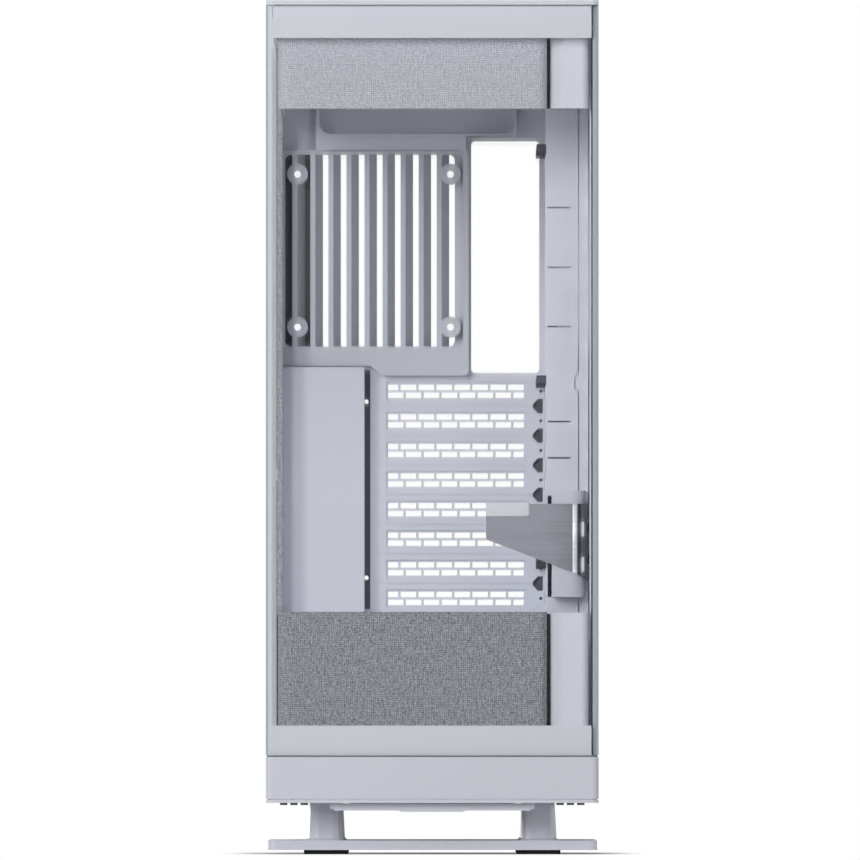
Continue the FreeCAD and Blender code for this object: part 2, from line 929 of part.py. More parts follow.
def channel_holes():
    """Return the two round holes beside the slots."""
    x = cover_plate_right + channel_hole_inset
    return [ring(x, screw_cover_high - channel_hole_end, channel_hole_radius, hole_sides),
            ring(x, screw_cover_low + channel_hole_end, channel_hole_radius, hole_sides)]


def channel_block(y, rim):
    """Return a block in the upright channel beside the roots of the slot covers, wider by a rim."""
    x = (cover_plate_right + running_clearance - rim, slot_left - slot_tab_length - running_clearance + rim)
    z = (screw_cover_low + door_height_margin - rim, screw_cover_high - door_height_margin + rim)
    return solid_box(x, y, z)


def slot_end_span():
    """Return the X and Z spans of the opening behind the tips of the slot covers."""
    x = (slot_left + slot_end_start + slot_end_margin, slot_left + slot_end_tip - slot_end_margin)
    heights = slot_heights()
    return (x, (heights[-1] - slot_tip_half_height, heights[0] + slot_tip_half_height))


def rear_panel():
    """Return the upper rear sheet with the port opening and the fan opening."""
    y = (rear_in, rear_out)
    window_x, window_z = fan_window()
    open_x = (window_x[0], window_x[1] - rear_window_end)
    cuts = [
        plate_y(y, eased((io_left, io_right), (io_bottom, io_top), io_radius)),
        plate_y(y, eased(open_x, window_z, fan_window_radius)),
        channel_block(y, 0.0),
    ]
    for x, z in fan_hole_places():
        cuts.append(plate_y(y, ring(x, z, fan_hole_radius, hole_sides)))
    return solid_box((-half_width, half_width), y, (rear_split, frame_top)).cut(Part.makeCompound(cuts))


def rear_slot_panel():
    """Return the middle rear sheet with the openings for the slots."""
    y = (rear_in, rear_out)
    end_x, end_z = slot_end_span()
    cuts = [channel_block(y, 0.0), solid_box(end_x, y, end_z)]
    for z in slot_heights():
        spans = slot_dish(z, slot_dish_wall + running_clearance)
        cuts.append(solid_box(spans[0], y, spans[1]))
        bore = ring(slot_left + slot_screw_inset, z, slot_screw_radius + screw_clearance, screw_sides)
        cuts.append(plate_y(y, bore))
    return solid_box((-half_width, half_width), y, (shroud_top, rear_split)).cut(Part.makeCompound(cuts))


def rear_lower_panel():
    """Return the lower rear sheet with the power supply opening, narrower between the ends of the skirt."""
    outline = polygon([(left, base_top), (right, base_top), (right, glass_bottom), (half_width, glass_bottom),
                       (half_width, shroud_top), (-half_width, shroud_top), (-half_width, glass_bottom),
                       (left, glass_bottom)])
    opening = eased((psu_left, psu_right), (psu_low, psu_high), hole_radius)
    return plate_y((rear_in, rear_out), outline, [opening])


def rear_blanks():
    """Return the dark pan behind the slot tips and the dark plates behind channel and fan window."""
    x, z = slot_end_span()
    rim = slot_end_pan_rim
    outer_y = rear_out + slot_end_pan_depth
    pan = solid_box((x[0] - rim, x[1] + rim), (rear_out, outer_y), (z[0] - rim, z[1] + rim))
    pan = pan.cut(solid_box(x, (rear_out, outer_y - sheet), z))
    window_x, window_z = fan_window()
    blank_x = (window_x[0] - blank_rim, window_x[0] + rear_window_start)
    blank_z = (window_z[0] - blank_rim, window_z[1] + blank_rim)
    y = (rear_out, rear_out + blank_thickness)
    plate = solid_box(blank_x, y, blank_z)
    holes = [ring(hole_x, hole_z, fan_hole_radius, hole_sides) for hole_x, hole_z in fan_hole_places()]
    plate = plate.cut(Part.makeCompound([plate_y(y, hole) for hole in holes]))
    strip = channel_block(y, blank_rim).cut(Part.makeCompound([plate_y(y, hole) for hole in channel_holes()]))
    return Part.makeCompound([pan, plate, strip])


def grille_blade(place, z, y):
    """Return one upright blade whose section leans to the right towards the rear."""
    section = polygon([(place, y[0]), (place + blade_front, y[0]),
                       (place + blade_front + blade_lean, y[1]), (place + blade_lean, y[1])])
    return plate_z(z, section)


def rear_fan_grille():
    """Return the pressed plate with a window of leaning blades and four screw discs."""
    y = (rear_in - fan_plate_depth, rear_in)
    face_y = (y[0], y[0] + fan_plate_thickness)
    window_x, window_z = fan_window()
    x = (window_x[0] - fan_rim_left, window_x[1] + fan_rim_right)
    z = (window_z[0] - fan_rim_bottom, window_z[1] + fan_rim_top)
    step_x = slot_left + slot_root_straight + slot_root_slope
    step_z = z[0] + fan_step_height
    outline = polygon([(x[0], z[1]), (x[0], step_z), (step_x - fan_step_slope, step_z), (step_x, z[0]),
                       (x[1] - fan_corner_cut, z[0]), (x[1], z[0] + fan_corner_cut), (x[1], z[1])])
    face = plate_y(face_y, outline, [eased(window_x, window_z, fan_window_radius)])
    wall = fan_plate_thickness
    pieces = [
        face,
        solid_box((x[0], x[1]), y, (z[1] - wall, z[1])),
        solid_box((x[0], x[0] + wall), y, (step_z, z[1])),
        solid_box((x[1] - wall, x[1]), y, (z[0] + fan_corner_cut, z[1])),
        solid_box((step_x, x[1] - fan_corner_cut), y, (z[0], z[0] + wall)),
    ]
    blade_z = (window_z[0] - wall, window_z[1] + wall)
    blade_y = (face_y[1] - wall / 2, rear_in)
    first = window_x[0] + blade_start
    for number in range(int((window_x[1] - first) / blade_pitch)):
        pieces.append(grille_blade(first + number * blade_pitch, blade_z, blade_y))
    for place_x, place_z in fan_hole_places():
        pieces.append(plate_y((face_y[0], rear_in), ring(place_x, place_z, fan_disc_radius, disc_sides)))
    holes = [rod_y(place_x, (y[0], back), place_z, fan_hole_radius) for place_x, place_z in fan_hole_places()]
    return joined(pieces).cut(Part.makeCompound(holes))


def rear_top_bracket():
    """Return the hanging plate at the top of the rear with a pressed pocket."""
    face_y = rear_in - bracket_depth
    x = (left + bracket_left, tray_face - bracket_right_gap)
    z = (web_bottom - bracket_height, web_bottom)
    step_x = x[1] - bracket_step_x
    step_z = z[0] + bracket_step_height
    outline = polygon([(x[0], z[0]), (step_x, z[0]), (step_x, step_z), (x[1], step_z),
                       (x[1], z[1]), (x[0], z[1])])
    pocket_x = (x[0] + pocket_margin_left, x[1] - pocket_margin_right)
    pocket_z = (z[0] + pocket_margin_bottom, z[0] + pocket_margin_bottom + pocket_height)
    hollow = eased(pocket_x, pocket_z, pocket_radius)
    plate = plate_y((face_y, face_y + rail_sheet), outline, [hollow])
    shell_x = (pocket_x[0] - sheet, pocket_x[1] + sheet)
    shell_z = (pocket_z[0] - sheet, pocket_z[1] + sheet)
    shell = plate_y((face_y + rail_sheet / 2, face_y + pocket_depth + sheet),
                    eased(shell_x, shell_z, pocket_radius + sheet))
    cavity = plate_y((face_y, face_y + pocket_depth), eased(pocket_x, pocket_z, pocket_radius))
    return joined([plate, shell.cut(cavity)])


def slot_screw_cover():
    """Return the folded plate left of the slots."""
    face_y = rear_in - screw_cover_depth
    x = (cover_plate_left, cover_plate_right)
    z = (screw_cover_low, screw_cover_high)
    inner_z = (z[0] + screw_cover_radius, z[1] - screw_cover_radius)
    return joined([
        plate_y((face_y, face_y + rail_sheet), eased(x, z, screw_cover_radius)),
        solid_box((x[0], x[0] + rail_sheet), (face_y + rail_sheet / 2, rear_in), inner_z),
        solid_box((x[1] - rail_sheet, x[1]), (face_y + rail_sheet / 2, rear_in), inner_z),
    ])


def slot_door():
    """Return the pan over the slot screws on the outside of the rear."""
    inner_x = (cover_plate_left - door_left_margin,
               slot_left + slot_screw_inset + slot_screw_head_radius + running_clearance)
    outer_y = back - door_rear_gap
    outer_x = (inner_x[0] - sheet, inner_x[1] + sheet)
    pan = solid_box(outer_x, (rear_out, outer_y), (door_low - sheet, door_high + sheet))
    hollow = solid_box(inner_x, (rear_out, outer_y - sheet), (door_low, door_high))
    holes = [plate_y((rear_out, back), wire) for wire in channel_holes()]
    return pan.cut(hollow).cut(Part.makeCompound(holes))


def brick_rows(centre):
    """Return the two rows of rectangles that perforate a slot dish."""
    wires = []
    start = slot_left + slot_dish_start + brick_margin
    step = brick_width + brick_web
    for row in (1, -1):
        middle = centre + row * (brick_height + brick_web) / 2
        v = (middle - brick_height / 2, middle + brick_height / 2)
        first = start
        if row > 0:
            wires.append(rectangle((first, first + brick_short), v))
            first = first + brick_short + brick_web
        for number in range(brick_full):
            wires.append(rectangle((first + number * step, first + number * step + brick_width), v))
        if row < 0:
            last = first + brick_full * step
            wires.append(rectangle((last, last + brick_short), v))
    return wires


def slot_cover(centre):
    """Return one slot cover with a tapered end, a perforated dish and a hooked root."""
    half = (slot_pitch - slot_cover_gap) / 2
    root = half - slot_root_cut
    tab = -root + slot_tab_height
    x0 = slot_left
    x1 = x0 + slot_root_straight
    x2 = x1 + slot_root_slope
    x3 = slot_left + slot_end_start
    x4 = x3 + slot_end_slope
    x5 = slot_left + slot_end_tip
    tip = slot_tip_half_height
    side = [(x0, root), (x1, root), (x2, half), (x3, half), (x4, tip), (x5, tip)]
    lower = [(x5, -tip), (x4, -tip), (x3, -half), (x2, -half), (x1, -root),
             (x0 - slot_tab_length, -root), (x0 - slot_tab_length, tab), (x0, tab)]
    outline = polygon([(x, centre + v) for x, v in side + lower])
    spans = slot_dish(centre, 0.0)
    wide = slot_dish(centre, slot_dish_wall)
    holes = [
        rectangle(spans[0], spans[1]),
        ring(x5 - slot_tip_hole_inset, centre, slot_tip_hole_radius, screw_sides),
    ]
    y = (rear_in - sheet, rear_in)
    plate = plate_y(y, outline, holes)
    wall = plate_y((y[0] + sheet / 2, y[1] + slot_dish_depth), rectangle(wide[0], wide[1]),
                   [rectangle(spans[0], spans[1])])
    floor = plate_y((y[1] + slot_dish_depth - slot_dish_wall, y[1] + slot_dish_depth),
                    rectangle(wide[0], wide[1]), brick_rows(centre))
    return joined([plate, wall, floor])


def slot_screws():
    """Return the screws that bite into the roots of the slot covers from outside."""
    screws = []
    for z in slot_heights():
        x = slot_left + slot_screw_inset
        shank = plate_y((rear_in, rear_out), ring(x, z, slot_screw_radius, screw_sides))
        head = ring(x, z, slot_screw_head_radius, screw_sides)
        screws.append(shank.fuse(plate_y((rear_out, rear_out + slot_screw_head), head)))
    return Part.makeCompound(screws)


def psu_frame():
    """Return the frame plate round the power supply opening outside."""
    outline = eased((psu_left - psu_frame_rim, psu_right + psu_frame_rim),
                    (base_top + running_clearance, psu_high + psu_frame_rim), hole_radius)
    opening = eased((psu_left, psu_right), (psu_low, psu_high), hole_radius)
    return plate_y((rear_out, rear_out + rail_sheet), outline, [opening])


def motherboard_tray():
    """Return the upright sheet that carries the main board, with windows for cooler and cables."""
    holes = []
    cpu_y = (rear_in - cpu_window_inset - cpu_window_width, rear_in - cpu_window_inset)
    cpu_z = (frame_top - cpu_window_drop - cpu_window_height, frame_top - cpu_window_drop)
    holes.append(eased(cpu_y, cpu_z, hole_radius))
    slot_y = (tray_front + cable_slot_inset, tray_front + cable_slot_inset + cable_slot_width)
    for number in range(cable_slot_count):
        low = shroud_top + cable_slot_lift + number * cable_slot_pitch
        holes.append(eased(slot_y, (low, low + cable_slot_height), hole_radius))
    outline = rectangle((tray_front, rear_in), (shroud_top, web_bottom))
    return plate_x((tray_face, tray_face + sheet), outline, holes)


def standoffs():
    """Return the six-sided standoffs on the tray with threaded holes, fully round at the board's corners."""
    solids = []
    x = (tray_face - standoff_height, tray_face)
    depth = (x[0], x[0] + standoff_hole_depth)
    for column in board_columns:
        for row in board_rows:
            y = board_back - column
            z = board_top - row
            body = plate_x(x, ring(y, z, standoff_radius, standoff_sides))
            if column in board_columns[::2] and row in board_rows[::2]:
                bore = rod_x(depth, y, z, standoff_hole_radius)
            else:
                bore = plate_x(depth, ring(y, z, standoff_hole_radius, screw_sides))
            solids.append(body.cut(bore))
    return Part.makeCompound(solids)


def cover_levels():
    """Return the heights of the step and the notch of the cable cover."""
    lip = (shroud_top + cover_lip_bottom, shroud_top + cover_lip_top)
    notch = (shroud_top + cover_notch_bottom, shroud_top + cover_notch_bottom + cover_notch_height)
    return lip, notch


def cable_cover():
    """Return the front-facing plate beside the tray with cable slits and a stepped edge."""
    lip, notch = cover_levels()
    cut = cover_notch
    outline = polygon([
        (tray_face, base_top), (cover_right, base_top),
        (cover_right, notch[0] - cut), (cover_right - cut, notch[0]),
        (cover_right - cut, notch[1]), (cover_right, notch[1] + cut),
        (cover_right, web_bottom), (tray_face, web_bottom),
        (tray_face, lip[1]), (tray_face - cover_lip, lip[1]),
        (tray_face - cover_lip, lip[0]), (tray_face, lip[0]),
    ])
    start = tray_face + cover_slit_start
    holes = []
    for level in cover_slit_levels:
        z = (shroud_top + level, shroud_top + level + cover_slit_height)
        holes.append(rectangle((start, start + cover_slit_length), z))
    low = shroud_top + cover_slot_bottom
    holes.append(rectangle((start, start + cover_slot_width), (low, low + cover_slot_height)))
    return plate_y((cover_face, cover_back), outline, holes)


def cable_rail():
    """Return the folded rail right of the cable cover with a tab that follows the notch."""
    notch = cover_levels()[1]
    start = cover_right + cover_rail_gap
    end = start + cover_rail_width
    cut = cover_notch
    outline = polygon([
        (start, base_top), (end, base_top), (end, web_bottom), (start, web_bottom),
        (start, notch[1] + cut), (start - cut, notch[1]), (start - cut, notch[0]), (start, notch[0] - cut),
    ])
    face = plate_y((cover_face, cover_back), outline)
    flange_y = (cover_face, cover_face + cover_rail_return)
    flange = solid_box((end - sheet, end), flange_y, (base_top, web_bottom))
    return joined([face, flange])


def corner_trim(z):
    """Return a corner trim: a sloped left face, a flat front and a round right edge."""
    y = facing_front
    t = trim_sheet
    slope = (trim_left + trim_slope_width, y)
    centre = (trim_right - trim_round, y + trim_round)
    edge_back = y + trim_slope_depth + trim_return
    edges = [
        line((trim_left, edge_back), (trim_left, y + trim_slope_depth)),
        line((trim_left, y + trim_slope_depth), slope),
        line(slope, (centre[0], y)),
        arc(centre, trim_round, 270, 360),
        line((trim_right, centre[1]), (trim_right, edge_back)),
        line((trim_right, edge_back), (trim_right - t, edge_back)),
        line((trim_right - t, edge_back), (trim_right - t, centre[1])),
        arc(centre, trim_round - t, 360, 270),
        line((centre[0], y + t), (slope[0], y + t)),
        line((slope[0], y + t), (trim_left + t, y + trim_slope_depth + t / 2)),
        line((trim_left + t, y + trim_slope_depth + t / 2), (trim_left + t, edge_back)),
        line((trim_left + t, edge_back), (trim_left, edge_back)),
    ]
    return plate_z(z, Part.Wire(edges))


def light_strip(z):
    """Return the dark diffuser strip in the gap beside a corner trim."""
    y = facing_front + light_strip_inset
    return solid_box((tray_face, tray_face + light_strip_width), (y, y + light_strip_depth), z)


def side_fan_bracket():
    """Return the slotted plate inside the right side that takes fans."""
    y = (chassis_front + bracket_front, arm_front - bracket_arm_gap)
    z = (rail_top, block_bottom)
    slot_length = y[1] - y[0] - 2 * bracket_slot_margin
    slots = slot_field(((y[0] + y[1]) / 2, (z[0] + z[1]) / 2), (slot_length, bracket_slot_height),
                       (slot_length, bracket_slot_pitch), (1, bracket_slot_rows))
    return plate_x((right - rail_sheet, right), rectangle(y, z), slots)


def arm_screw_places():
    """Return the places of the arm screws in Y and Z."""
    y = cover_face - arm_screw_inset
    return [(y, arm_top - drop) for drop in arm_screw_drops]


def gpu_clip():
    """Return the clip on the cable cover with a round front corner and a slot for the arm screws."""
    x = (tray_face + clip_left_gap, tray_face + clip_left_gap + clip_width)
    y = (cover_face - clip_depth, cover_face)
    z = (shroud_top + clip_lift, shroud_top + clip_lift + clip_height)
    r = clip_corner_radius
    edges = [
        line((x[0], y[0]), (x[1] - r, y[0])),
        arc((x[1] - r, y[0] + r), r, 270, 360),
        line((x[1], y[0] + r), (x[1], y[1])),
        line((x[1], y[1]), (x[0], y[1])),
        line((x[0], y[1]), (x[0], y[0])),
    ]
    body = plate_z(z, Part.Wire(edges))
    places = arm_screw_places()
    half = arm_screw_radius + running_clearance
    slot = solid_box((x[1] - arm_screw_length, x[1]), (places[0][0] - half, places[0][0] + half),
                     (places[1][1] - arm_travel_down - half, places[0][1] + arm_travel_up + half))
    return body.cut(slot)


def gpu_arm():
    """Return the bent sheet arm: a tapered front with a notched tip and a flange along the clip."""
    t = arm_sheet
    r = arm_outer_radius
    centre = (arm_right - r, arm_front + r)
    end = centre[1] + arm_flange
    edges = [
        line((arm_left, arm_front), (centre[0], arm_front)),
        arc(centre, r, 270, 360),
        line((arm_right, centre[1]), (arm_right, end)),
        line((arm_right, end), (arm_right - t, end)),
        line((arm_right - t, end), (arm_right - t, centre[1])),
        arc(centre, r - t, 360, 270),
        line((centre[0], arm_back), (arm_left, arm_back)),
        line((arm_left, arm_back), (arm_left, arm_front)),
    ]
    low = arm_top - arm_root_height
    strip = plate_z((low, arm_top), Part.Wire(edges))
    tip_top = arm_top - pad_sink
    tip_low = tip_top - arm_tip_height
    outline = polygon([
        (arm_left, tip_top), (arm_left + pad_reach, tip_top), (arm_left + pad_reach, arm_top),
        (arm_right, arm_top), (arm_right, low), (arm_right - arm_knee_reach, low + arm_knee_rise),
        (arm_left + arm_tip_cut, tip_low), (arm_left, tip_low + arm_tip_cut_rise),
    ])
    bores = [plate_x((arm_right - t, arm_right), ring(y, z, arm_screw_radius + screw_clearance, screw_sides))
             for y, z in arm_screw_places()]
    return strip.common(plate_y((arm_front, end), outline)).cut(Part.makeCompound(bores))


def gpu_pad():
    """Return the soft pad on the tip of the arm."""
    low = arm_top - pad_sink
    y = (arm_front - pad_front, arm_front - pad_front + pad_run)
    return solid_box((arm_left, arm_left + pad_reach), y, (low, low + pad_rise))


def gpu_arm_screws():
    """Return the two screws that clamp the arm to the clip."""
    screws = []
    for y, z in arm_screw_places():
        shank = plate_x((arm_right - arm_screw_length, arm_right), ring(y, z, arm_screw_radius, screw_sides))
        head = plate_x((arm_right, arm_right + arm_screw_head), ring(y, z, arm_screw_head_radius, hole_sides))
        screws.append(shank.fuse(head))
    return Part.makeCompound(screws)


def panel_depth_span():
    """Return the front and rear of the side covers."""
    return (front + glass_thickness + corner_gap, rear_in - corner_gap)


def right_panel():
    """Return the steel side panel with its slotted intake, folded all round, at the front behind its edge."""
    y = panel_depth_span()
    z = (glass_bottom, glass_top)
    x = (half_width - side_panel_depth, half_width)
    field_y = y[0] + panel_slot_front + panel_slot_length / 2
    field_z = z[0] + panel_slot_lift + panel_slot_rows * panel_slot_pitch / 2
    slots = slot_field((field_y, field_z), (panel_slot_length, panel_slot_height),
                       (panel_slot_length, panel_slot_pitch), (1, panel_slot_rows))
    skin = plate_x((x[1] - sheet, x[1]), rectangle(y, z), slots)
    fold_y = (y[0] + panel_front_fold, y[1])
    hollow_y = (fold_y[0] + sheet, y[1] - sheet)
    hollow_z = (z[0] + sheet, z[1] - sheet)
    rim = plate_x((x[0], x[1] - sheet / 2), rectangle(fold_y, z), [rectangle(hollow_y, hollow_z)])
    lip_y = (fold_y[0] + panel_flange, y[1] - panel_flange)
    lip_z = (z[0] + panel_flange, z[1] - panel_flange)
    lip = plate_x((x[0], x[0] + sheet), rectangle(fold_y, z), [rectangle(lip_y, lip_z)])
    return joined([skin, rim, lip])


def front_glass():
    """Return the full-width front pane with ground upright edges."""
    rear = front + glass_thickness
    flat = half_width - glass_chamfer
    ground = front + glass_chamfer
    outline = polygon([(-flat, front), (flat, front), (half_width, ground), (half_width, rear),
                       (-half_width, rear), (-half_width, ground)])
    return plate_z((glass_bottom, glass_top), outline)


def left_glass():
    """Return the left pane, which ends behind the front pane."""
    return plate_x((-half_width, -half_width + glass_thickness),
                   rectangle(panel_depth_span(), (glass_bottom, glass_top)))


def top_panel():
    """Return the lift-off lid with a ledge round its vent and the hole for the connections."""
    ledge_top = lid_top - vent_thickness
    inner_x = (vent_x[0] + vent_ledge, vent_x[1] - vent_ledge)
    inner_y = (vent_y[0] + vent_ledge, vent_y[1] - vent_ledge)
    outline = rounded((-half_width, half_width), (front, back), top_panel_radius)
    hole = bezel_hole(running_clearance)
    lower = plate_z((frame_top, ledge_top), outline, [rectangle(inner_x, inner_y), hole])
    upper = plate_z((ledge_top, lid_top), outline, [rectangle(vent_x, vent_y), hole])
    return joined([lower, upper])


def top_vent():
    """Return the slotted plate that lies on the ledge of the lid."""
    x = (vent_x[0] + running_clearance, vent_x[1] - running_clearance)
    y = (vent_y[0] + running_clearance, vent_y[1] - running_clearance)
    slot_length = x[1] - x[0] - 2 * vent_rim
    rows = int((y[1] - y[0] - 2 * vent_rim) / lid_slot_pitch)
    slots = slot_field(((x[0] + x[1]) / 2, (y[0] + y[1]) / 2), (slot_length, lid_slot_width),
                       (slot_length, lid_slot_pitch), (1, rows))
    return plate_z((lid_top - vent_thickness, lid_top), rectangle(x, y), slots)


def bezel_middle():
    """Return the middle line of the connection strip in X."""
    return (bezel_left + bezel_right) / 2


def socket(place, width, length):
    """Return the box of a socket cut down into the connection strip."""
    x = bezel_middle()
    y = bezel_start + place
    z = (lid_top - socket_depth, lid_top)
    return solid_box((x - width / 2, x + width / 2), (y - length / 2, y + length / 2), z)


def button_well(place, radius):
    """Return the round well that a button sinks into."""
    floor = lid_top - button_height - button_travel - running_clearance
    outline = ring(bezel_middle(), bezel_start + place, radius + button_clearance, disc_sides)
    return plate_z((floor, lid_top), outline)


def io_bezel():
    """Return the connection strip with its buttons' wells and its sockets."""
    x = bezel_middle()
    low = lid_top - bezel_depth
    body = plate_z((low, lid_top), bezel_hole(0.0))
    shelf_z = (web_bottom - bezel_flange_thickness, web_bottom)
    shelf = plate_z(shelf_z, bezel_hole(bezel_flange))
    cuts = [
        button_well(power_place, button_radius),
        button_well(reset_place, reset_radius),
        rod_z(x, bezel_start + jack_place, (lid_top - socket_depth, lid_top), jack_radius),
        socket(type_c_place, type_c_width, type_c_length),
    ]
    tongues = []
    for place in usb_places:
        cuts.append(socket(place, usb_width, usb_length))
        start = x - usb_width / 2
        y = bezel_start + place
        half = usb_length / 2 - usb_tongue_side
        tongue_z = (lid_top - socket_depth, lid_top - sheet)
        tongues.append(solid_box((start, start + usb_tongue), (y - half, y + half), tongue_z))
    return joined([joined([body, shelf]).cut(Part.makeCompound(cuts))] + tongues)


def button(place, radius):
    """Return a round push button in its well."""
    outline = ring(bezel_middle(), bezel_start + place, radius, disc_sides)
    return plate_z((lid_top - button_height, lid_top), outline)


def psu_pads():
    """Return the two rubber strips that the power supply lies on."""
    middle = (psu_left + psu_right) / 2
    y = (rear_in - psu_pad_back - psu_pad_length, rear_in - psu_pad_back)
    pads = []
    for side in (-1, 1):
        x = middle + side * psu_pad_spacing / 2
        pads.append(solid_box((x - psu_pad_width / 2, x + psu_pad_width / 2), y,
                              (base_top, base_top + psu_pad_thickness)))
    return Part.makeCompound(pads)


def ssd_bracket(lift):
    """Return a folded drive bracket on the rear face of the tray."""
    face = tray_face + sheet
    y = (rear_in - ssd_back - ssd_length, rear_in - ssd_back)
    z = (shroud_top + lift - ssd_height / 2, shroud_top + lift + ssd_height / 2)
    stand = face + ssd_stand
    feet = [
        solid_box((face, face + sheet), (y[0] - ssd_foot, y[0]), z),
        solid_box((face, face + sheet), (y[1], y[1] + ssd_foot), z),
    ]
    walls = [
        solid_box((face, stand), (y[0], y[0] + sheet), z),
        solid_box((face, stand), (y[1] - sheet, y[1]), z),
    ]
    return joined(feet + walls + [solid_box((stand - sheet, stand), y, z)])


def rear_pillar():
    """Return the folded pillar at the rear left between the lower cover and the top frame."""
    y = (rear_in - pillar_depth, rear_in)
    z = (shroud_top, block_bottom)
    return joined([
        solid_box((pillar_wall, pillar_wall + sheet), y, z),
        solid_box((pillar_wall, pillar_wall + pillar_return), (y[0], y[0] + sheet), z),
    ])


def pillar_fabric():
    """Return the fabric facing that wraps the side and the front edge of the rear pillar."""
    front_y = (pillar_front, rear_in - pillar_depth)
    z = (shroud_top, block_bottom)
    return joined([
        solid_box((pillar_face, pillar_wall), (pillar_front, rear_in), z),
        solid_box((pillar_face, pillar_wall + pillar_return), front_y, z),
    ])


def pillar_seal():
    """Return the black seal on the rear sheets that the left pane closes against."""
    return solid_box((pillar_face - seal_thickness, pillar_face), (rear_in - seal_depth, rear_in),
                     (rail_top, block_bottom))


def glass_catch():
    """Return the small catch on the pillar that holds the left pane."""
    z = (shroud_top + catch_lift, shroud_top + catch_lift + catch_height)
    y = (rear_in - catch_back, rear_in - catch_back + catch_depth)
    return solid_box((pillar_face - catch_reach, pillar_face), y, z)


pieces = {
    "front_foot": foot(front + foot_setback),
    "rear_foot": foot(back - foot_setback),
    "foot_pads": foot_pads(),
    "foot_screws": foot_screws(),
    "base_plate": base_plate(),
    "base_rivets": base_rivets(),
    "filter_runners": filter_runners(),
    "dust_filter_frame": dust_filter_frame(),
    "dust_filter_mesh": dust_filter_mesh(),
    "base_skirt": base_skirt(),
    "panel_rests": panel_rests(),
    "lower_rail": lower_rail(),
    "psu_shroud": psu_shroud(),
    "shroud_fabric": shroud_fabric(),
    "top_bar": top_bar(),
    "top_fabric": top_fabric(),
    "top_frame": top_frame(),
    "rear_panel": rear_panel(),
    "rear_slot_panel": rear_slot_panel(),
    "rear_lower_panel": rear_lower_panel(),
    "rear_fan_grille": rear_fan_grille(),
    "rear_top_bracket": rear_top_bracket(),
    "slot_screw_cover": slot_screw_cover(),
    "slot_door": slot_door(),
    "slot_screws": slot_screws(),
    "rear_blanks": rear_blanks(),
    "psu_frame": psu_frame(),
    "motherboard_tray": motherboard_tray(),
    "standoffs": standoffs(),
    "cable_cover": cable_cover(),
    "cable_rail": cable_rail(),
    "upper_corner_trim": corner_trim((bar_low, web_bottom)),
    "lower_corner_trim": corner_trim((rail_top, shroud_top)),
    "black_strips": Part.makeCompound([light_strip((bar_low, web_bottom)),
                                       light_strip((rail_top, shroud_top - sheet)), pillar_seal()]),
    "side_fan_bracket": side_fan_bracket(),
    "gpu_clip": gpu_clip(),
    "gpu_arm": gpu_arm(),
    "gpu_pad": gpu_pad(),
    "gpu_arm_screws": gpu_arm_screws(),
    "right_panel": right_panel(),
    "front_glass": front_glass(),
    "left_glass": left_glass(),
    "top_panel": top_panel(),
    "top_vent": top_vent(),
    "io_bezel": io_bezel(),
    "power_button": button(power_place, button_radius),
    "reset_button": button(reset_place, reset_radius),
    "psu_pads": psu_pads(),
    "ssd_brackets": Part.makeCompound([ssd_bracket(lift) for lift in ssd_rows]),
    "rear_pillar": rear_pillar(),
    "pillar_fabric": pillar_fabric(),
    "glass_catch": glass_catch(),
}
for number, height in enumerate(slot_heights(), 1):
    pieces["slot_cover_" + str(number)] = slot_cover(height)

os.makedirs("parts", exist_ok=True)
for name, shape in pieces.items():
    shape.exportStep("parts/" + name + ".step")
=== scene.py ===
# %% [markdown]
# # A white tower case behind glass
# The object is a computer case: painted steel inside, clear panes at the front and on the left, boards
# covered with grey cloth, and a metal arm that holds up a heavy card. The solids come ready from the packed
# model, so this lesson only dresses them: it makes the cloth and the soft pad as new surfaces and gives every
# piece its finish.

# %% Load the frame
import math
import bpy
import numpy as np
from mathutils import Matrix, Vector


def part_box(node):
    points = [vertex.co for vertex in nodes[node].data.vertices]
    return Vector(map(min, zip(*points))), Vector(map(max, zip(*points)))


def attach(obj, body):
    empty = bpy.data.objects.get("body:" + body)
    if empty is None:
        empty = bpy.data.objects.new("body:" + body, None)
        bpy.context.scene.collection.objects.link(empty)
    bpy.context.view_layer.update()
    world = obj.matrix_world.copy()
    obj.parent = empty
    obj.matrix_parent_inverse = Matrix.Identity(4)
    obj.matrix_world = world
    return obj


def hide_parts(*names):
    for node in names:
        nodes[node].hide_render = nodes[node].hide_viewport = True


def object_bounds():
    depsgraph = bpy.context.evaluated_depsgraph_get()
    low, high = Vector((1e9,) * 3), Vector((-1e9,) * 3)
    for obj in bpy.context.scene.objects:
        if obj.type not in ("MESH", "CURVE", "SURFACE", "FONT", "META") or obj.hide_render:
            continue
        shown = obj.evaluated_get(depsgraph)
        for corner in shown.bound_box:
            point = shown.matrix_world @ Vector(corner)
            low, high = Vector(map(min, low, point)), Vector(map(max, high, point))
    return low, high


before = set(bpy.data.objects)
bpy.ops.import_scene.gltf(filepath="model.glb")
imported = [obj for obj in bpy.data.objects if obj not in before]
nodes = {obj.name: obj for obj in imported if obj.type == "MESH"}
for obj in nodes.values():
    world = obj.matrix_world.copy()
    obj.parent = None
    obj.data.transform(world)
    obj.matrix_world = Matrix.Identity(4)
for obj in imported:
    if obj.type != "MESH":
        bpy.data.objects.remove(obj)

cad_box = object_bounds()
scene = bpy.context.scene
MM = 0.001
print("nodes", len(nodes), "box", [[round(v, 4) for v in corner] for corner in cad_box])

# %% [markdown]
# ## Camera
# The photograph looks straight at the front from far away, so upright edges stay upright and the rear wall is
# almost as large as the front pane. A long lens from 27 m gives that look. An orthographic camera would be
# close, but it would lose the slight narrowing towards the back. The lens follows from the width in metres
# that the picture covers at the front pane.

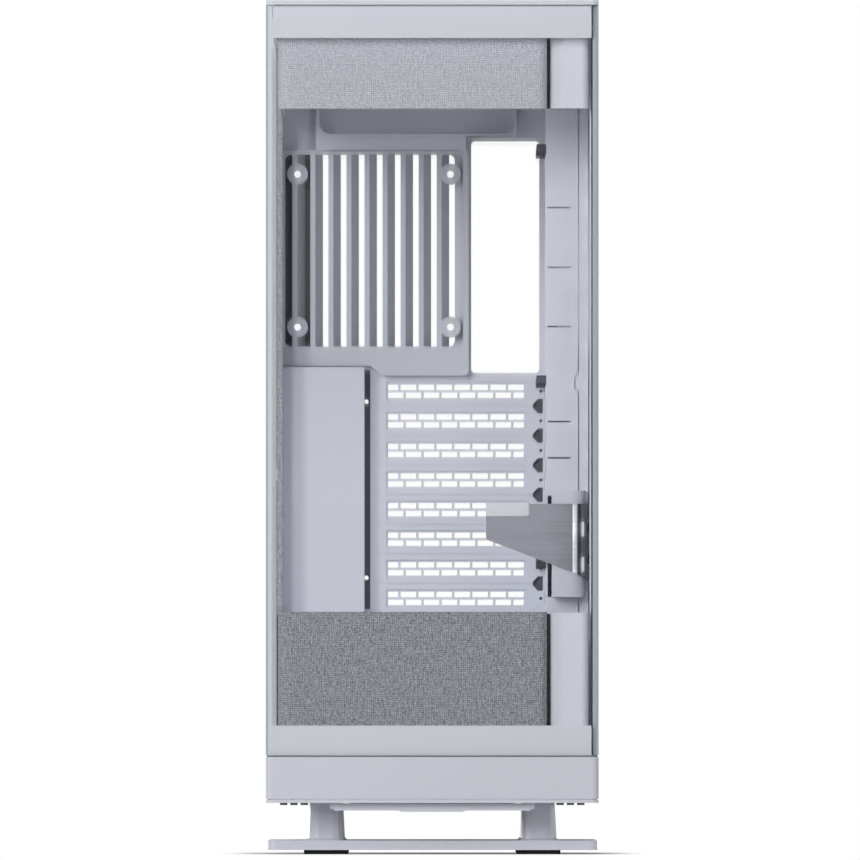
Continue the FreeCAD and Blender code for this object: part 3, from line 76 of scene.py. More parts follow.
# %% Camera
FRONT_DISTANCE = 27.0
FRAME_WIDTH = 0.5814
SENSOR_WIDTH = 36.0
FAR_LIMIT = 60.0
EYE_HEIGHT = 0.08
AIM_SIDE = -0.0015
AIM_HEIGHT = 0.2869
front_plane = cad_box[0][1]
camera_data = bpy.data.cameras.new("photo_camera")
camera_data.sensor_fit = "HORIZONTAL"
camera_data.sensor_width = SENSOR_WIDTH
camera_data.lens = SENSOR_WIDTH * FRONT_DISTANCE / FRAME_WIDTH
camera_data.clip_end = FAR_LIMIT
camera = bpy.data.objects.new("photo_camera", camera_data)
scene.collection.objects.link(camera)
eye = Vector((0.0, front_plane - FRONT_DISTANCE, EYE_HEIGHT))
aim = Vector((AIM_SIDE, front_plane, AIM_HEIGHT))
camera.location = eye
camera.rotation_euler = (aim - eye).to_track_quat("-Z", "Y").to_euler()
scene.camera = camera
print("lens", round(camera_data.lens, 1), "mm")

# %% [markdown]
# ## A few small tools
# Colours are given as sRGB hex values, while the shader works in linear light, so one function
# translates. A second one adds a node with its settings and links, which keeps each material readable as a
# short list. The others start a material, find a node in it again and give it to solids.

# %% Tools for colours and nodes
def linear(code):
    """Turn an sRGB hex colour into linear RGBA.

    A channel up to 0.04045 is divided by 12.92. A higher one gets 0.055 added, is divided by 1.055 and is
    then raised to the power 2.4.
    """
    srgb = np.array([int(code[place:place + 2], 16) for place in (1, 3, 5)]) / 255.0
    light = np.where(srgb <= 0.04045, srgb / 12.92, ((srgb + 0.055) / 1.055) ** 2.4)
    return (*light.tolist(), 1.0)


def put(tree, kind, inputs=None, **settings):
    """Add one node: settings are its own choices, inputs are values to set or sockets to link."""
    node = tree.nodes.new("ShaderNode" + kind)
    for name, value in settings.items():
        setattr(node, name, value)
    for name, value in (inputs or {}).items():
        if isinstance(value, bpy.types.NodeSocket):
            tree.links.new(value, node.inputs[name])
        else:
            node.inputs[name].default_value = value
    return node


def start_finish(name):
    """Return a new material, its tree, its shader joined to the output, and a coordinate node."""
    material = bpy.data.materials.new(name)
    material.use_nodes = True
    tree = material.node_tree
    tree.nodes.clear()
    shader = put(tree, "BsdfPrincipled")
    put(tree, "OutputMaterial", {"Surface": shader.outputs["BSDF"]})
    place = put(tree, "TexCoord")
    return material, tree, shader, place


def find(material, kind):
    """Return the first node of a kind in a material."""
    return next(node for node in material.node_tree.nodes if node.type == kind)


def dress(names, material):
    """Give the named solids one finish."""
    for name in names:
        mesh = nodes[name].data
        mesh.materials.clear()
        mesh.materials.append(material)
    print(material.name, "on", len(names), "solids")


# %% [markdown]
# ## Powder-coated steel
# Most of the case is sheet steel with a baked powder coat. The powder melts into a satin skin with a faint
# orange peel, so the eye gets a soft, even, slightly cool white. Real peel is about 0.6 mm wide, too fine to
# show here, so it is drawn at 1.6 mm and kept shallow. A slow drift in tone keeps wide faces from looking
# flat.

# %% Powder coat
COAT_IOR = 1.5
COAT_PEEL = 1.6
TONE_DRIFT = 120 * MM
GLOSS_DRIFT = 0.03
STEEL_COAT = ("#DCDFE8", "#D7DAE3", 0.45, COAT_PEEL)


def powder_coat(name, pale, deep, roughness, peel_mm):
    """Wide noise mixes two tones and shifts the roughness a little; fine noise makes the bump."""
    material, tree, shader, place = start_finish(name)
    drift = put(tree, "TexNoise", {"Vector": place.outputs["Object"], "Scale": 1 / TONE_DRIFT, "Detail": 2.0})
    tone = put(tree, "Mix", {"Factor": drift.outputs["Fac"], "A": linear(pale), "B": linear(deep)},
               data_type="RGBA")
    peel = put(tree, "TexNoise",
               {"Vector": place.outputs["Object"], "Scale": 1 / (peel_mm * MM), "Detail": 1.0})
    bump = put(tree, "Bump", {"Height": peel.outputs["Fac"], "Strength": 0.12, "Distance": 0.1 * MM})
    gloss = put(tree, "MapRange", {"Value": drift.outputs["Fac"],
                                   "To Min": roughness - GLOSS_DRIFT, "To Max": roughness + GLOSS_DRIFT})
    tree.links.new(tone.outputs["Result"], shader.inputs["Base Color"])
    tree.links.new(bump.outputs["Normal"], shader.inputs["Normal"])
    tree.links.new(gloss.outputs["Result"], shader.inputs["Roughness"])
    shader.inputs["IOR"].default_value = COAT_IOR
    return material


steel_names = [
    "base_plate", "filter_runners", "lower_rail", "psu_shroud", "top_bar", "top_frame", "rear_panel",
    "rear_slot_panel", "rear_lower_panel", "slot_screw_cover", "slot_door", "slot_screws", "psu_frame",
    "motherboard_tray", "cable_cover", "cable_rail", "upper_corner_trim", "lower_corner_trim",
    "side_fan_bracket", "ssd_brackets", "rear_pillar",
] + [name for name in nodes if name.startswith("slot_cover_")]
dress(steel_names, powder_coat("white_powder_coat_on_steel", *STEEL_COAT))

# %% [markdown]
# ## The same coat on other pieces
# Feet and lid are aluminium and a little smoother. The fan grille and the bracket over it get a matt coat:
# with the satin one, the blades would mirror the white behind the case and lose their shade. Its tones are a
# little darker than the steel's, which is painted shade on these rear pieces.

# %% Smooth and matt coats
MATT_SPECULAR = 0.1
alu_coat = powder_coat("white_powder_coat_on_aluminium", "#DBDEE7", "#D6D9E2", 0.4, COAT_PEEL)
dress(["front_foot", "rear_foot", "top_panel", "top_vent"], alu_coat)

# matt coat whose darker tones are painted shade for the grille and bracket at the rear
matt_coat_painted_shade = powder_coat("matt_powder_coat_with_painted_shade", "#D6D9E1", "#D0D3DB", 0.7, COAT_PEEL)
find(matt_coat_painted_shade, "BSDF_PRINCIPLED").inputs["Specular IOR Level"].default_value = MATT_SPECULAR
dress(["rear_fan_grille", "rear_top_bracket"], matt_coat_painted_shade)

# %% [markdown]
# ## Painted shade on the edge of the side panel
# The side panel has the same coat, but through the front glass its folded front edge looks grey. What makes
# it grey can't be seen, so painted shade stands in for it: the fold gets a darker tone where it faces
# forward.
# It multiplies the coat's own tone and keeps its drift.

# %% Side panel with painted shade on its edge
FOLD_REACH = 6.0 * MM
FACES_FORWARD = -0.5


def paint_shade_on_front_fold(material, front_edge, tint):
    """Painted shade: darken the tone by a tint where the surface faces forward within the fold's reach."""
    tree = material.node_tree
    shader = find(material, "BSDF_PRINCIPLED")
    coat_tone = shader.inputs["Base Color"].links[0].from_socket
    place = put(tree, "TexCoord")
    spot = put(tree, "SeparateXYZ", {"Vector": place.outputs["Object"]})
    surface = put(tree, "NewGeometry")
    outward = put(tree, "SeparateXYZ", {"Vector": surface.outputs["True Normal"]})
    forward = put(tree, "Math", {0: outward.outputs["Y"], 1: FACES_FORWARD}, operation="LESS_THAN")
    near_front = put(tree, "Math", {0: spot.outputs["Y"], 1: front_edge + FOLD_REACH}, operation="LESS_THAN")
    shaded_fold_mask = put(tree, "Math", {0: forward.outputs[0], 1: near_front.outputs[0]}, operation="MULTIPLY")
    tone = put(tree, "Mix", {"Factor": shaded_fold_mask.outputs[0], "A": coat_tone, "B": linear(tint)},
               data_type="RGBA", blend_type="MULTIPLY")
    tree.links.new(tone.outputs["Result"], shader.inputs["Base Color"])


panel_coat_painted_shade = powder_coat("white_powder_coat_with_painted_shade_edge", *STEEL_COAT)
# the grey tint is painted shade on the fold that faces forward
paint_shade_on_front_fold(panel_coat_painted_shade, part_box("right_panel")[0][1], "#C0CACB")
dress(["right_panel"], panel_coat_painted_shade)

# %% [markdown]
# ## Moulded ABS
# The skirt, the clip, the catch of the left pane, the filter frame and the strip with the buttons are moulded
# plastic in the same white. Moulds for such parts are spark-eroded, which leaves a fine even grain and a
# slightly duller surface than the paint.

# %% Moulded plastic
moulded_white = powder_coat("white_moulded_abs", "#D8DBE4", "#D3D6DF", 0.55, 0.9)
dress(["base_skirt", "gpu_clip", "dust_filter_frame", "glass_catch", "io_bezel", "power_button",
       "reset_button"], moulded_white)

# %% [markdown]
# ## Clear glass
# The panes are 4 mm tempered glass: nearly invisible face on, green where light runs along the pane and
# leaves at the ground edge. They mirror hardly anything here, while plain glass would mirror the white room
# as a pale veil, so the glass shader gets a small alpha and most light passes straight through. Rays that
# carry light always do. The edge tint is found from the direction of the surface, not from the view.

# %% Glass
GLASS_IOR = 1.5
GLASS_ALPHA = 0.12
FACE_ON = 0.9


def pane_glass(name, thin_axis, ground):
    """Clear where the surface faces along the pane's thin axis, ground and green on its narrow edges."""
    material, tree, shader, place = start_finish(name)
    shader.inputs["Transmission Weight"].default_value = 1.0
    shader.inputs["Roughness"].default_value = 0.0
    shader.inputs["IOR"].default_value = GLASS_IOR
    shader.inputs["Alpha"].default_value = GLASS_ALPHA
    faint = put(tree, "TexNoise", {"Vector": place.outputs["Object"], "Scale": 1 / (250 * MM)})
    tint = put(tree, "Mix", {"Factor": faint.outputs["Fac"], "A": linear("#FFFFFF"), "B": linear("#FDFDFE")},
               data_type="RGBA")
    tree.links.new(tint.outputs["Result"], shader.inputs["Base Color"])
    grain = put(tree, "TexNoise", {"Vector": place.outputs["Object"], "Scale": 1 / (3 * MM)})
    green = put(tree, "Mix", {"Factor": grain.outputs["Fac"], "A": linear(ground[0]), "B": linear(ground[1])},
                data_type="RGBA")
    edge = put(tree, "BsdfPrincipled", {"Base Color": green.outputs["Result"], "Roughness": 0.35})
    surface = put(tree, "NewGeometry")
    parts = put(tree, "SeparateXYZ", {"Vector": surface.outputs["True Normal"]})
    facing = put(tree, "Math", {0: parts.outputs[thin_axis]}, operation="ABSOLUTE")
    narrow = put(tree, "Math", {0: facing.outputs[0], 1: FACE_ON}, operation="LESS_THAN")
    solid = put(tree, "MixShader", {0: narrow.outputs[0], 1: shader.outputs["BSDF"], 2: edge.outputs["BSDF"]})
    rays = put(tree, "LightPath")
    carries = put(tree, "Math", {0: rays.outputs["Is Shadow Ray"], 1: rays.outputs["Is Diffuse Ray"]},
                  operation="MAXIMUM")
    through = put(tree, "BsdfTransparent", {"Color": linear("#FCFCFC")})
    both = put(tree, "MixShader", {0: carries.outputs[0], 1: solid.outputs[0], 2: through.outputs["BSDF"]})
    tree.links.new(both.outputs[0], find(material, "OUTPUT_MATERIAL").inputs["Surface"])
    return material


dress(["front_glass"], pane_glass("tempered_glass_front", "Y", ("#ACC0C1", "#9DB3B3")))
dress(["left_glass"], pane_glass("tempered_glass_side", "X", ("#DCE6EA", "#D0DCE0")))

# %% [markdown]
# ## Brushed aluminium with a painted highlight
# The arm is bent from aluminium sheet with the long fine streaks that an abrasive belt leaves along its
# length. Its bend gets a painted highlight, a bright crown followed by a darker band of painted reflection,
# and the flange a painted grey reflection. These tones are set by how far the surface turns sideways. Real
# scratches are finer than the 0.7 mm that shows here.

# %% Brushed metal
STREAK_LENGTH = 60 * MM
STREAK_WIDTH = 0.7 * MM
# tone by sideways turn: flat metal, then a painted highlight, a painted dark band and a painted grey
# reflection
BEND_TONES_WITH_PAINTED_HIGHLIGHT = ((0.00, "#707178"), (0.05, "#707178"), (0.09, "#F8F9FC"), (0.30, "#F8F9FC"), (0.38, "#5A5B61"),
              (0.52, "#55565C"), (0.62, "#A0A1A8"), (1.00, "#98999F"))


def brushed_aluminium():
    """Bands of painted highlight set the bend's tone; long noise streaks vary it, the roughness and a shallow
    bump.
    """
    material, tree, shader, place = start_finish("brushed_aluminium")
    stretch = put(tree, "Mapping", {"Vector": place.outputs["Object"],
                                    "Scale": (1 / STREAK_LENGTH, 1 / STREAK_LENGTH, 1 / STREAK_WIDTH)})
    streak = put(tree, "TexNoise",
                 {"Vector": stretch.outputs["Vector"], "Scale": 1.0, "Detail": 4.0, "Roughness": 0.7})
    surface = put(tree, "NewGeometry")
    parts = put(tree, "SeparateXYZ", {"Vector": surface.outputs["Normal"]})
    bands = put(tree, "ValToRGB", {"Fac": parts.outputs["X"]})
    stops = bands.color_ramp.elements
    while len(stops) < len(BEND_TONES_WITH_PAINTED_HIGHLIGHT):
        stops.new(0.5)
    for stop, (turn, code) in zip(stops, BEND_TONES_WITH_PAINTED_HIGHLIGHT):
        stop.position = turn
        stop.color = linear(code)
    share = put(tree, "MapRange", {"Value": streak.outputs["Fac"], "From Min": 0.3, "From Max": 0.7,
                                   "To Min": 0.78, "To Max": 1.12})
    tone = put(tree, "VectorMath", {0: bands.outputs["Color"], "Scale": share.outputs["Result"]},
               operation="SCALE")
    gloss = put(tree, "MapRange", {"Value": streak.outputs["Fac"], "To Min": 0.3, "To Max": 0.45})
    bump = put(tree, "Bump", {"Height": streak.outputs["Fac"], "Strength": 0.15, "Distance": 0.05 * MM})
    tree.links.new(tone.outputs["Vector"], shader.inputs["Base Color"])
    tree.links.new(gloss.outputs["Result"], shader.inputs["Roughness"])
    tree.links.new(bump.outputs["Normal"], shader.inputs["Normal"])
    shader.inputs["Metallic"].default_value = 1.0
    return material


dress(["gpu_arm"], brushed_aluminium())

# %% [markdown]
# ## Small dark pieces
# The pads under the feet and the power supply are black rubber with a dusty bloom, and the rests under the
# panes a greyer one. The strips beside the corner trims are plastic. The dark grey plastic plates behind the
# rear openings are painted shade: they stand where those openings lie in shade. The screws are blackened
# steel, the standoffs and rivets dark plated metal, and the standoffs' dark tone is partly painted shade.
# Each keeps a little grain and sheen, because a pure black would read as a hole.

# %% Dark finishes
DARK_SPECULAR = 0.2
# solids, material, two tones, roughness, metallic, grain in millimetres
DARK_FINISHES = (
    (["foot_pads", "psu_pads"], "black_rubber", "#18191B", "#26272A", 0.75, 0.0, 1.5),
    (["panel_rests"], "grey_rubber", "#6E7077", "#84868D", 0.75, 0.0, 1.5),
    # rear_blanks: dark plates that are painted shade in the rear openings
    (["rear_blanks"], "dark_grey_abs", "#585A60", "#686A71", 0.6, 0.0, 1.2),
    (["black_strips"], "black_soft_plastic", "#24252B", "#2F3139", 0.6, 0.0, 4.0),
    (["foot_screws", "gpu_arm_screws"], "black_oxide_steel", "#17181A", "#2B2C2F", 0.4, 0.6, 0.8),
    # standoffs and rivets: dark plating, with the standoffs' dark tone partly painted shade
    (["standoffs", "base_rivets"], "dark_plated_steel", "#4A4D53", "#63666D", 0.35, 0.5, 1.0),
)


def dark_finish(name, low, high, roughness, metallic, grain_mm):
    """Two close dark tones mixed by noise of the given grain, with a bump from the same noise."""
    material, tree, shader, place = start_finish(name)
    grain = put(tree, "TexNoise",
                {"Vector": place.outputs["Object"], "Scale": 1 / (grain_mm * MM), "Detail": 3.0})
    tone = put(tree, "Mix", {"Factor": grain.outputs["Fac"], "A": linear(low), "B": linear(high)},
               data_type="RGBA")
    bump = put(tree, "Bump", {"Height": grain.outputs["Fac"], "Strength": 0.25, "Distance": 0.1 * MM})
    tree.links.new(tone.outputs["Result"], shader.inputs["Base Color"])
    tree.links.new(bump.outputs["Normal"], shader.inputs["Normal"])
    shader.inputs["Roughness"].default_value = roughness
    shader.inputs["Metallic"].default_value = metallic
    shader.inputs["Specular IOR Level"].default_value = DARK_SPECULAR
    return material


for names, *finish in DARK_FINISHES:
    dress(names, dark_finish(*finish))

# %% [markdown]
# ## Filter mesh
# The dust filter is a black nylon net. At 0.5 mm the threads are far too fine for the picture, so the net is
# drawn at 2 mm as crossing bands of thread with darker holes between them.

# %% Filter net
NET_PITCH = 2 * MM
# at scale one, Blender's wave texture has 20 radians to the metre
NET_SCALE = 2 * math.pi / 20 / NET_PITCH


def filter_net():
    """Two sets of bands at right angles; a point is thread where either band is high."""
    material, tree, shader, place = start_finish("black_nylon_net")
    bands = [put(tree, "TexWave", {"Vector": place.outputs["Object"], "Scale": NET_SCALE},
                 bands_direction=axis) for axis in ("X", "Y")]
    thread = put(tree, "Math", {0: bands[0].outputs["Fac"], 1: bands[1].outputs["Fac"]}, operation="MAXIMUM")
    tone = put(tree, "Mix", {"Factor": thread.outputs[0], "A": linear("#0C0D0E"), "B": linear("#34363A")},
               data_type="RGBA")
    bump = put(tree, "Bump", {"Height": thread.outputs[0], "Strength": 0.5, "Distance": 0.3 * MM})
    tree.links.new(tone.outputs["Result"], shader.inputs["Base Color"])
    tree.links.new(bump.outputs["Normal"], shader.inputs["Normal"])
    shader.inputs["Roughness"].default_value = 0.6
    return material


dress(["dust_filter_mesh"], filter_net())

# %% [markdown]
# ## Cloth stretched over boards
# Three boards are covered with a grey melange cloth. Such cloth is glued round the edges of a thin board, so
# its border rolls over with a small radius and vanishes behind. A box with a cloth picture on it would show
# hard corners. Here a short profile, face with two rolled edges, is carried along the board's plan line.

# %% Surface from a grid
def grid_mesh(name, points, lengths):
    """Build a mesh from an array of rows x columns x 3, with one face between each four neighbours.

    The array lengths gives each point its place on the cloth in metres, which becomes the UV map.
    """
    rows, columns = points.shape[:2]
    corner = np.arange((rows - 1) * columns).reshape(rows - 1, columns)[:, :-1].ravel()
    faces = np.stack([corner, corner + columns, corner + columns + 1, corner + 1], axis=1)
    mesh = bpy.data.meshes.new(name)
    mesh.from_pydata(points.reshape(-1, 3), [], faces)
    layer = mesh.uv_layers.new(name="cloth_place")
    layer.data.foreach_set("uv", lengths.reshape(-1, 2)[faces.ravel()].ravel())
    mesh.polygons.foreach_set("use_smooth", np.ones(len(faces), dtype=bool))
    piece = bpy.data.objects.new(name, mesh)
    scene.collection.objects.link(piece)
    return piece


# %% Plan line and profile
ARC_POINTS = 13
ROLL_POINTS = 6
FACE_POINTS = 12


def plan_path(points, radius, step):
    """Sample a plan line with its right-angled corners rounded, and give the way inward at each point.

    An arc's centre lies one radius from the corner along both legs, and its points follow a quarter turn. The
    straight runs between arcs are divided by step. Inward is a quarter turn to the right of the heading.
    """
    points = np.asarray(points, dtype=float)
    places = [points[:1]]
    for before, corner, after in zip(points[:-2], points[1:-1], points[2:]):
        inward = (before - corner) / np.linalg.norm(before - corner)
        outward = (after - corner) / np.linalg.norm(after - corner)
        centre = corner + radius * (inward + outward)
        turn = np.linspace(0.0, math.pi / 2, ARC_POINTS)[:, None]
        places.append(centre - radius * (outward * np.cos(turn) + inward * np.sin(turn)))
    places.append(points[-1:])
    dense = []
    for run, following in zip(places[:-1], places[1:]):
        gap = np.linalg.norm(following[0] - run[-1])
        share = np.linspace(0.0, 1.0, max(2, int(gap / step)))[1:-1, None]
        dense += [run, run[-1] + (following[0] - run[-1]) * share]
    line = np.vstack(dense + [places[-1]])
    heading = np.gradient(line, axis=0)
    heading /= np.linalg.norm(heading, axis=1)[:, None]
    side = np.stack([heading[:, 1], -heading[:, 0]], axis=1)
    return line, side


def rolled_profile(bottom, top, roll, tuck):
    """A face from bottom to top with quarter rolls at both ends, each followed by a flat tuck behind."""
    turn = np.linspace(0.0, math.pi / 2, ROLL_POINTS)
    low = np.stack([roll - roll * np.sin(turn), bottom + roll - roll * np.cos(turn)], axis=1)
    high = np.stack([roll - roll * np.cos(turn), top - roll + roll * np.sin(turn)], axis=1)
    heights = np.linspace(bottom + roll, top - roll, FACE_POINTS + 2)[1:-1]
    face = np.stack([np.zeros(FACE_POINTS), heights], axis=1)
    return np.vstack([[[tuck, bottom]], low, face, high, [[tuck, top]]])


def running_length(line):
    """Distance along a line of points, starting at zero."""
    return np.concatenate([[0.0], np.cumsum(np.linalg.norm(np.diff(line, axis=0), axis=1))])


# %% Profile carried along the line
CLOTH_THICKNESS = 0.5 * MM


def cloth_facing(name, line, side, profile):
    """Carry the profile along the plan line: its first value moves inward, its second is the height."""
    points = np.empty((len(line), len(profile), 3))
    points[..., :2] = line[:, None, :] + side[:, None, :] * profile[None, :, :1]
    points[..., 2] = profile[None, :, 1]
    along = running_length(line)
    across = running_length(profile)
    lengths = np.stack(np.meshgrid(along, across, indexing="ij"), axis=-1)
    piece = grid_mesh(name, points, lengths)
    wall = piece.modifiers.new("cloth_thickness", "SOLIDIFY")
    wall.thickness = CLOTH_THICKNESS
    wall.offset = -1.0
    print(name, "cut to", round(along[-1], 4), "x", round(across[-1], 4), "m")
    return piece, (along[-1], across[-1])


def declare_cloth(piece, node_name):
    """Hide the solid the cloth stands for and let the cloth move with the chassis."""
    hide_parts(node_name)
    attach(piece, "chassis")
    return piece


# %% [markdown]
# ## Three covered boards
# Two boards go round the front left corner, one over the power supply and one along the top. The third cloth
# wraps the edge of the pillar at the rear left, so its own plan line makes the roll and its profile is
# straight.

# %% Cloth round the corner
CLOTH_CORNER = 8.0 * MM
CLOTH_STEP = 6 * MM
ROLL = 0.9 * MM
TUCK = 2.2 * MM
facings = {}
for node_name, backing in (("shroud_fabric", "psu_shroud"), ("top_fabric", "top_bar")):
    low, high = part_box(node_name)
    corners = [(high[0], low[1]), (low[0], low[1]), (low[0], high[1])]
    line, side = plan_path(corners, CLOTH_CORNER, CLOTH_STEP)
    profile = rolled_profile(low[2], high[2], ROLL, TUCK)
    piece, cut = cloth_facing(node_name.replace("fabric", "cloth"), line, side, profile)
    facings[node_name] = declare_cloth(piece, node_name)

# %% Cloth on the pillar
PILLAR_STEP = 3 * MM
PILLAR_ROWS = 60
low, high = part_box("pillar_fabric")
corners = [(high[0], low[1] + TUCK), (high[0], low[1]), (low[0], low[1]), (low[0], high[1])]
line, side = plan_path(corners, ROLL, PILLAR_STEP)
profile = np.stack([np.zeros(PILLAR_ROWS), np.linspace(low[2], high[2], PILLAR_ROWS)], axis=1)
piece, cut = cloth_facing("pillar_cloth", line, side, profile)
facings["pillar_fabric"] = declare_cloth(piece, "pillar_fabric")

# %% [markdown]
# ## Melange cloth
# The cloth is a plain weave of mixed light and dark grey yarn. Seen close, small dark pits sit between the
# threads, and their darkness is painted shade; the threads wander a little, and single ones run lighter or
# darker for a while. The weave is worked out on the cloth's own lengths in metres, so it keeps its size and
# turns the corner. The threads are drawn 1.3 and 1.4 mm apart, as coarse as they need to be to show.

# %% Woven finish
THREAD_SPACING = (1.3 * MM, 1.4 * MM)
WANDER_SIZE = 3.5 * MM
WANDER_REACH = (1.9 * MM, 1.6 * MM, 0.0)
YARN_WIDTH = 1.1 * MM
YARN_LENGTH = 7 * MM
SPECK_SIZE = 1.6 * MM


def melange_cloth(name, pit_shade, thread, pale):
    """A thread's height is the size of a sine wave across it; pits are where the height is low and get
    painted shade.

    Where the sines of warp and weft have the same sign the weft lies on top, elsewhere the warp. Noise moves
    the threads, and stretched noise with specks mixes the yarn from two tones.
    """
    material, tree, shader, place = start_finish(name)
    cloth_place = place.outputs["UV"]
    wander = put(tree, "TexNoise", {"Vector": cloth_place, "Scale": 1 / WANDER_SIZE, "Detail": 1.0})
    swing = put(tree, "VectorMath", {0: wander.outputs["Color"], 1: WANDER_REACH, 2: cloth_place},
                operation="MULTIPLY_ADD")
    threads = put(tree, "Mapping", {"Vector": swing.outputs["Vector"],
                                    "Scale": (*[math.pi / spacing for spacing in THREAD_SPACING], 1.0)})
    parts = put(tree, "SeparateXYZ", {"Vector": threads.outputs["Vector"]})
    warp = put(tree, "Math", {0: parts.outputs["X"]}, operation="SINE")
    weft = put(tree, "Math", {0: parts.outputs["Y"]}, operation="SINE")
    chequer = put(tree, "Math", {0: warp.outputs[0], 1: weft.outputs[0]}, operation="MULTIPLY")
    over = put(tree, "Math", {0: chequer.outputs[0], 1: 0.0}, operation="GREATER_THAN")
    warp_height = put(tree, "Math", {0: warp.outputs[0]}, operation="ABSOLUTE")
    weft_height = put(tree, "Math", {0: weft.outputs[0]}, operation="ABSOLUTE")
    height = put(tree, "Mix",
                 {"Factor": over.outputs[0], "A": warp_height.outputs[0], "B": weft_height.outputs[0]})
    yarn_up = put(tree, "Mapping", {"Vector": cloth_place, "Scale": (1 / YARN_WIDTH, 1 / YARN_LENGTH, 1.0)})
    yarn = put(tree, "TexNoise",
               {"Vector": yarn_up.outputs["Vector"], "Scale": 1.0, "Detail": 3.0, "Roughness": 0.65})
    speck = put(tree, "TexNoise", {"Vector": cloth_place, "Scale": 1 / SPECK_SIZE, "Detail": 2.0})
    mixed = put(tree, "Math", {0: yarn.outputs["Fac"], 1: speck.outputs["Fac"]}, operation="ADD")
    yarn_share = put(tree, "MapRange", {"Value": mixed.outputs[0], "From Min": 0.7, "From Max": 1.3})
    yarn_tone = put(tree, "Mix",
                    {"Factor": yarn_share.outputs["Result"], "A": linear(thread), "B": linear(pale)},
                    data_type="RGBA")
    # painted shade: the pit tone darkens the cloth where the threads lie low
    pit_shade_share = put(tree, "MapRange", {"Value": height.outputs["Result"], "From Min": 0.05, "From Max": 0.55})
    tone = put(tree, "Mix",
               {"Factor": pit_shade_share.outputs["Result"], "A": linear(pit_shade), "B": yarn_tone.outputs["Result"]},
               data_type="RGBA")
    bump = put(tree, "Bump", {"Height": height.outputs["Result"], "Strength": 0.6, "Distance": 0.35 * MM})
    tree.links.new(tone.outputs["Result"], shader.inputs["Base Color"])
    tree.links.new(bump.outputs["Normal"], shader.inputs["Normal"])
    shader.inputs["Roughness"].default_value = 0.9
    shader.inputs["Specular IOR Level"].default_value = 0.2
    shader.inputs["Sheen Weight"].default_value = 0.15
    shader.inputs["Sheen Roughness"].default_value = 0.5
    return material


# %% Cloths on their boards
# board, material, and the tones of pit, dark yarn and pale yarn
# one cloth in three tone sets: painted light on the top board, painted shade on the shroud, half light on the
# pillar
CLOTHS = (
    ("top_fabric", "pale_grey_melange_cloth", "#7C7F89", "#BEC1CC", "#EBEEF6"),
    ("shroud_fabric", "mid_grey_melange_cloth", "#3A3C41", "#7C7E86", "#CDCFD8"),
    ("pillar_fabric", "side_grey_melange_cloth", "#4C4E55", "#989AA3", "#DDDFE7"),
)
for node_name, *finish in CLOTHS:
    facings[node_name].data.materials.append(melange_cloth(*finish))
print("cloth on", len(facings), "boards")

# %% [markdown]
# ## Soft pad on the arm
# A silicone pad sits on the tip of the arm so that the card isn't scratched. Its edges are rounded like any
# moulded rubber. A bevelled box would do, but carrying one height profile round a rounded outline gives both
# radii at once.

# %% Pad
PAD_CORNER = 2.0 * MM
PAD_EDGE = 1.0 * MM
RING_POINTS = 64


def rounded_ring(half_x, half_y, radius, count):
    """A rounded rectangle as one ring: each quarter turn is pushed out to its own corner centre."""
    turn = np.linspace(0.0, 2 * math.pi, count, endpoint=False)
    centre_x = np.sign(np.cos(turn)) * (half_x - radius)
    centre_y = np.sign(np.sin(turn)) * (half_y - radius)
    centre = np.stack([centre_x, centre_y], axis=1)
    return centre + radius * np.stack([np.cos(turn), np.sin(turn)], axis=1)


def moulded_pad(name, low, high, corner, edge):
    """Carry a height profile, bottom edge, side, top edge, round the outline; the inset shrinks each ring."""
    middle = (np.array(low) + np.array(high)) / 2
    half = (np.array(high) - np.array(low)) / 2
    turn = np.linspace(0.0, math.pi / 2, ROLL_POINTS)
    edge_insets = [edge - edge * np.sin(turn), edge - edge * np.cos(turn)]
    inset = np.concatenate([[2 * corner], *edge_insets, [2 * corner]])
    bottom_edge = low[2] + edge - edge * np.cos(turn)
    top_edge = high[2] - edge + edge * np.sin(turn)
    height = np.concatenate([[low[2]], bottom_edge, top_edge, [high[2]]])
    ring = rounded_ring(half[0], half[1], corner, RING_POINTS)
    shrink = 1.0 - inset[:, None, None] / half[None, None, :2]
    points = np.empty((len(inset), RING_POINTS, 3))
    points[..., :2] = middle[:2] + ring[None, :, :] * shrink
    points[..., 2] = height[:, None]
    index = np.arange(len(inset) * RING_POINTS).reshape(len(inset), RING_POINTS)
    following = np.roll(index, -1, axis=1)
    sides = np.stack([index[:-1], following[:-1], following[1:], index[1:]], axis=-1).reshape(-1, 4)
    ends = [index[0][::-1].tolist(), index[-1].tolist()]
    mesh = bpy.data.meshes.new(name)
    mesh.from_pydata(points.reshape(-1, 3), [], sides.tolist() + ends)
    mesh.polygons.foreach_set("use_smooth", np.ones(len(mesh.polygons), dtype=bool))
    piece = bpy.data.objects.new(name, mesh)
    scene.collection.objects.link(piece)
    print(name, len(mesh.polygons), "faces")
    return piece


pad = moulded_pad("arm_pad", *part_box("gpu_pad"), PAD_CORNER, PAD_EDGE)
pad.data.materials.append(powder_coat("light_grey_silicone", "#E6E8EE", "#DFE1E8", 0.6, 1.2))
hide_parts("gpu_pad")
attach(pad, "gpu_support")

# %% [markdown]
# ## Studio
# The picture was made on white: the case stands on a pale floor that keeps only a soft shadow, and everything
# behind it is white, also where it shows through the fan blades. The world is white to rays that are seen,
# reflected or refracted, and gives only a weak fill of light to the object itself.

# %% World
FILL = 0.04
WHITE = linear("#FFFFFF")


def sees_background(tree):
    """One where a ray comes from the eye, a reflection or glass, zero where it only carries light."""
    rays = put(tree, "LightPath")
    seen = put(tree, "Math", {0: rays.outputs["Is Camera Ray"], 1: rays.outputs["Is Glossy Ray"]},
               operation="MAXIMUM")
    either = put(tree, "Math", {0: seen.outputs[0], 1: rays.outputs["Is Transmission Ray"]},
                 operation="MAXIMUM")
    return either.outputs[0]


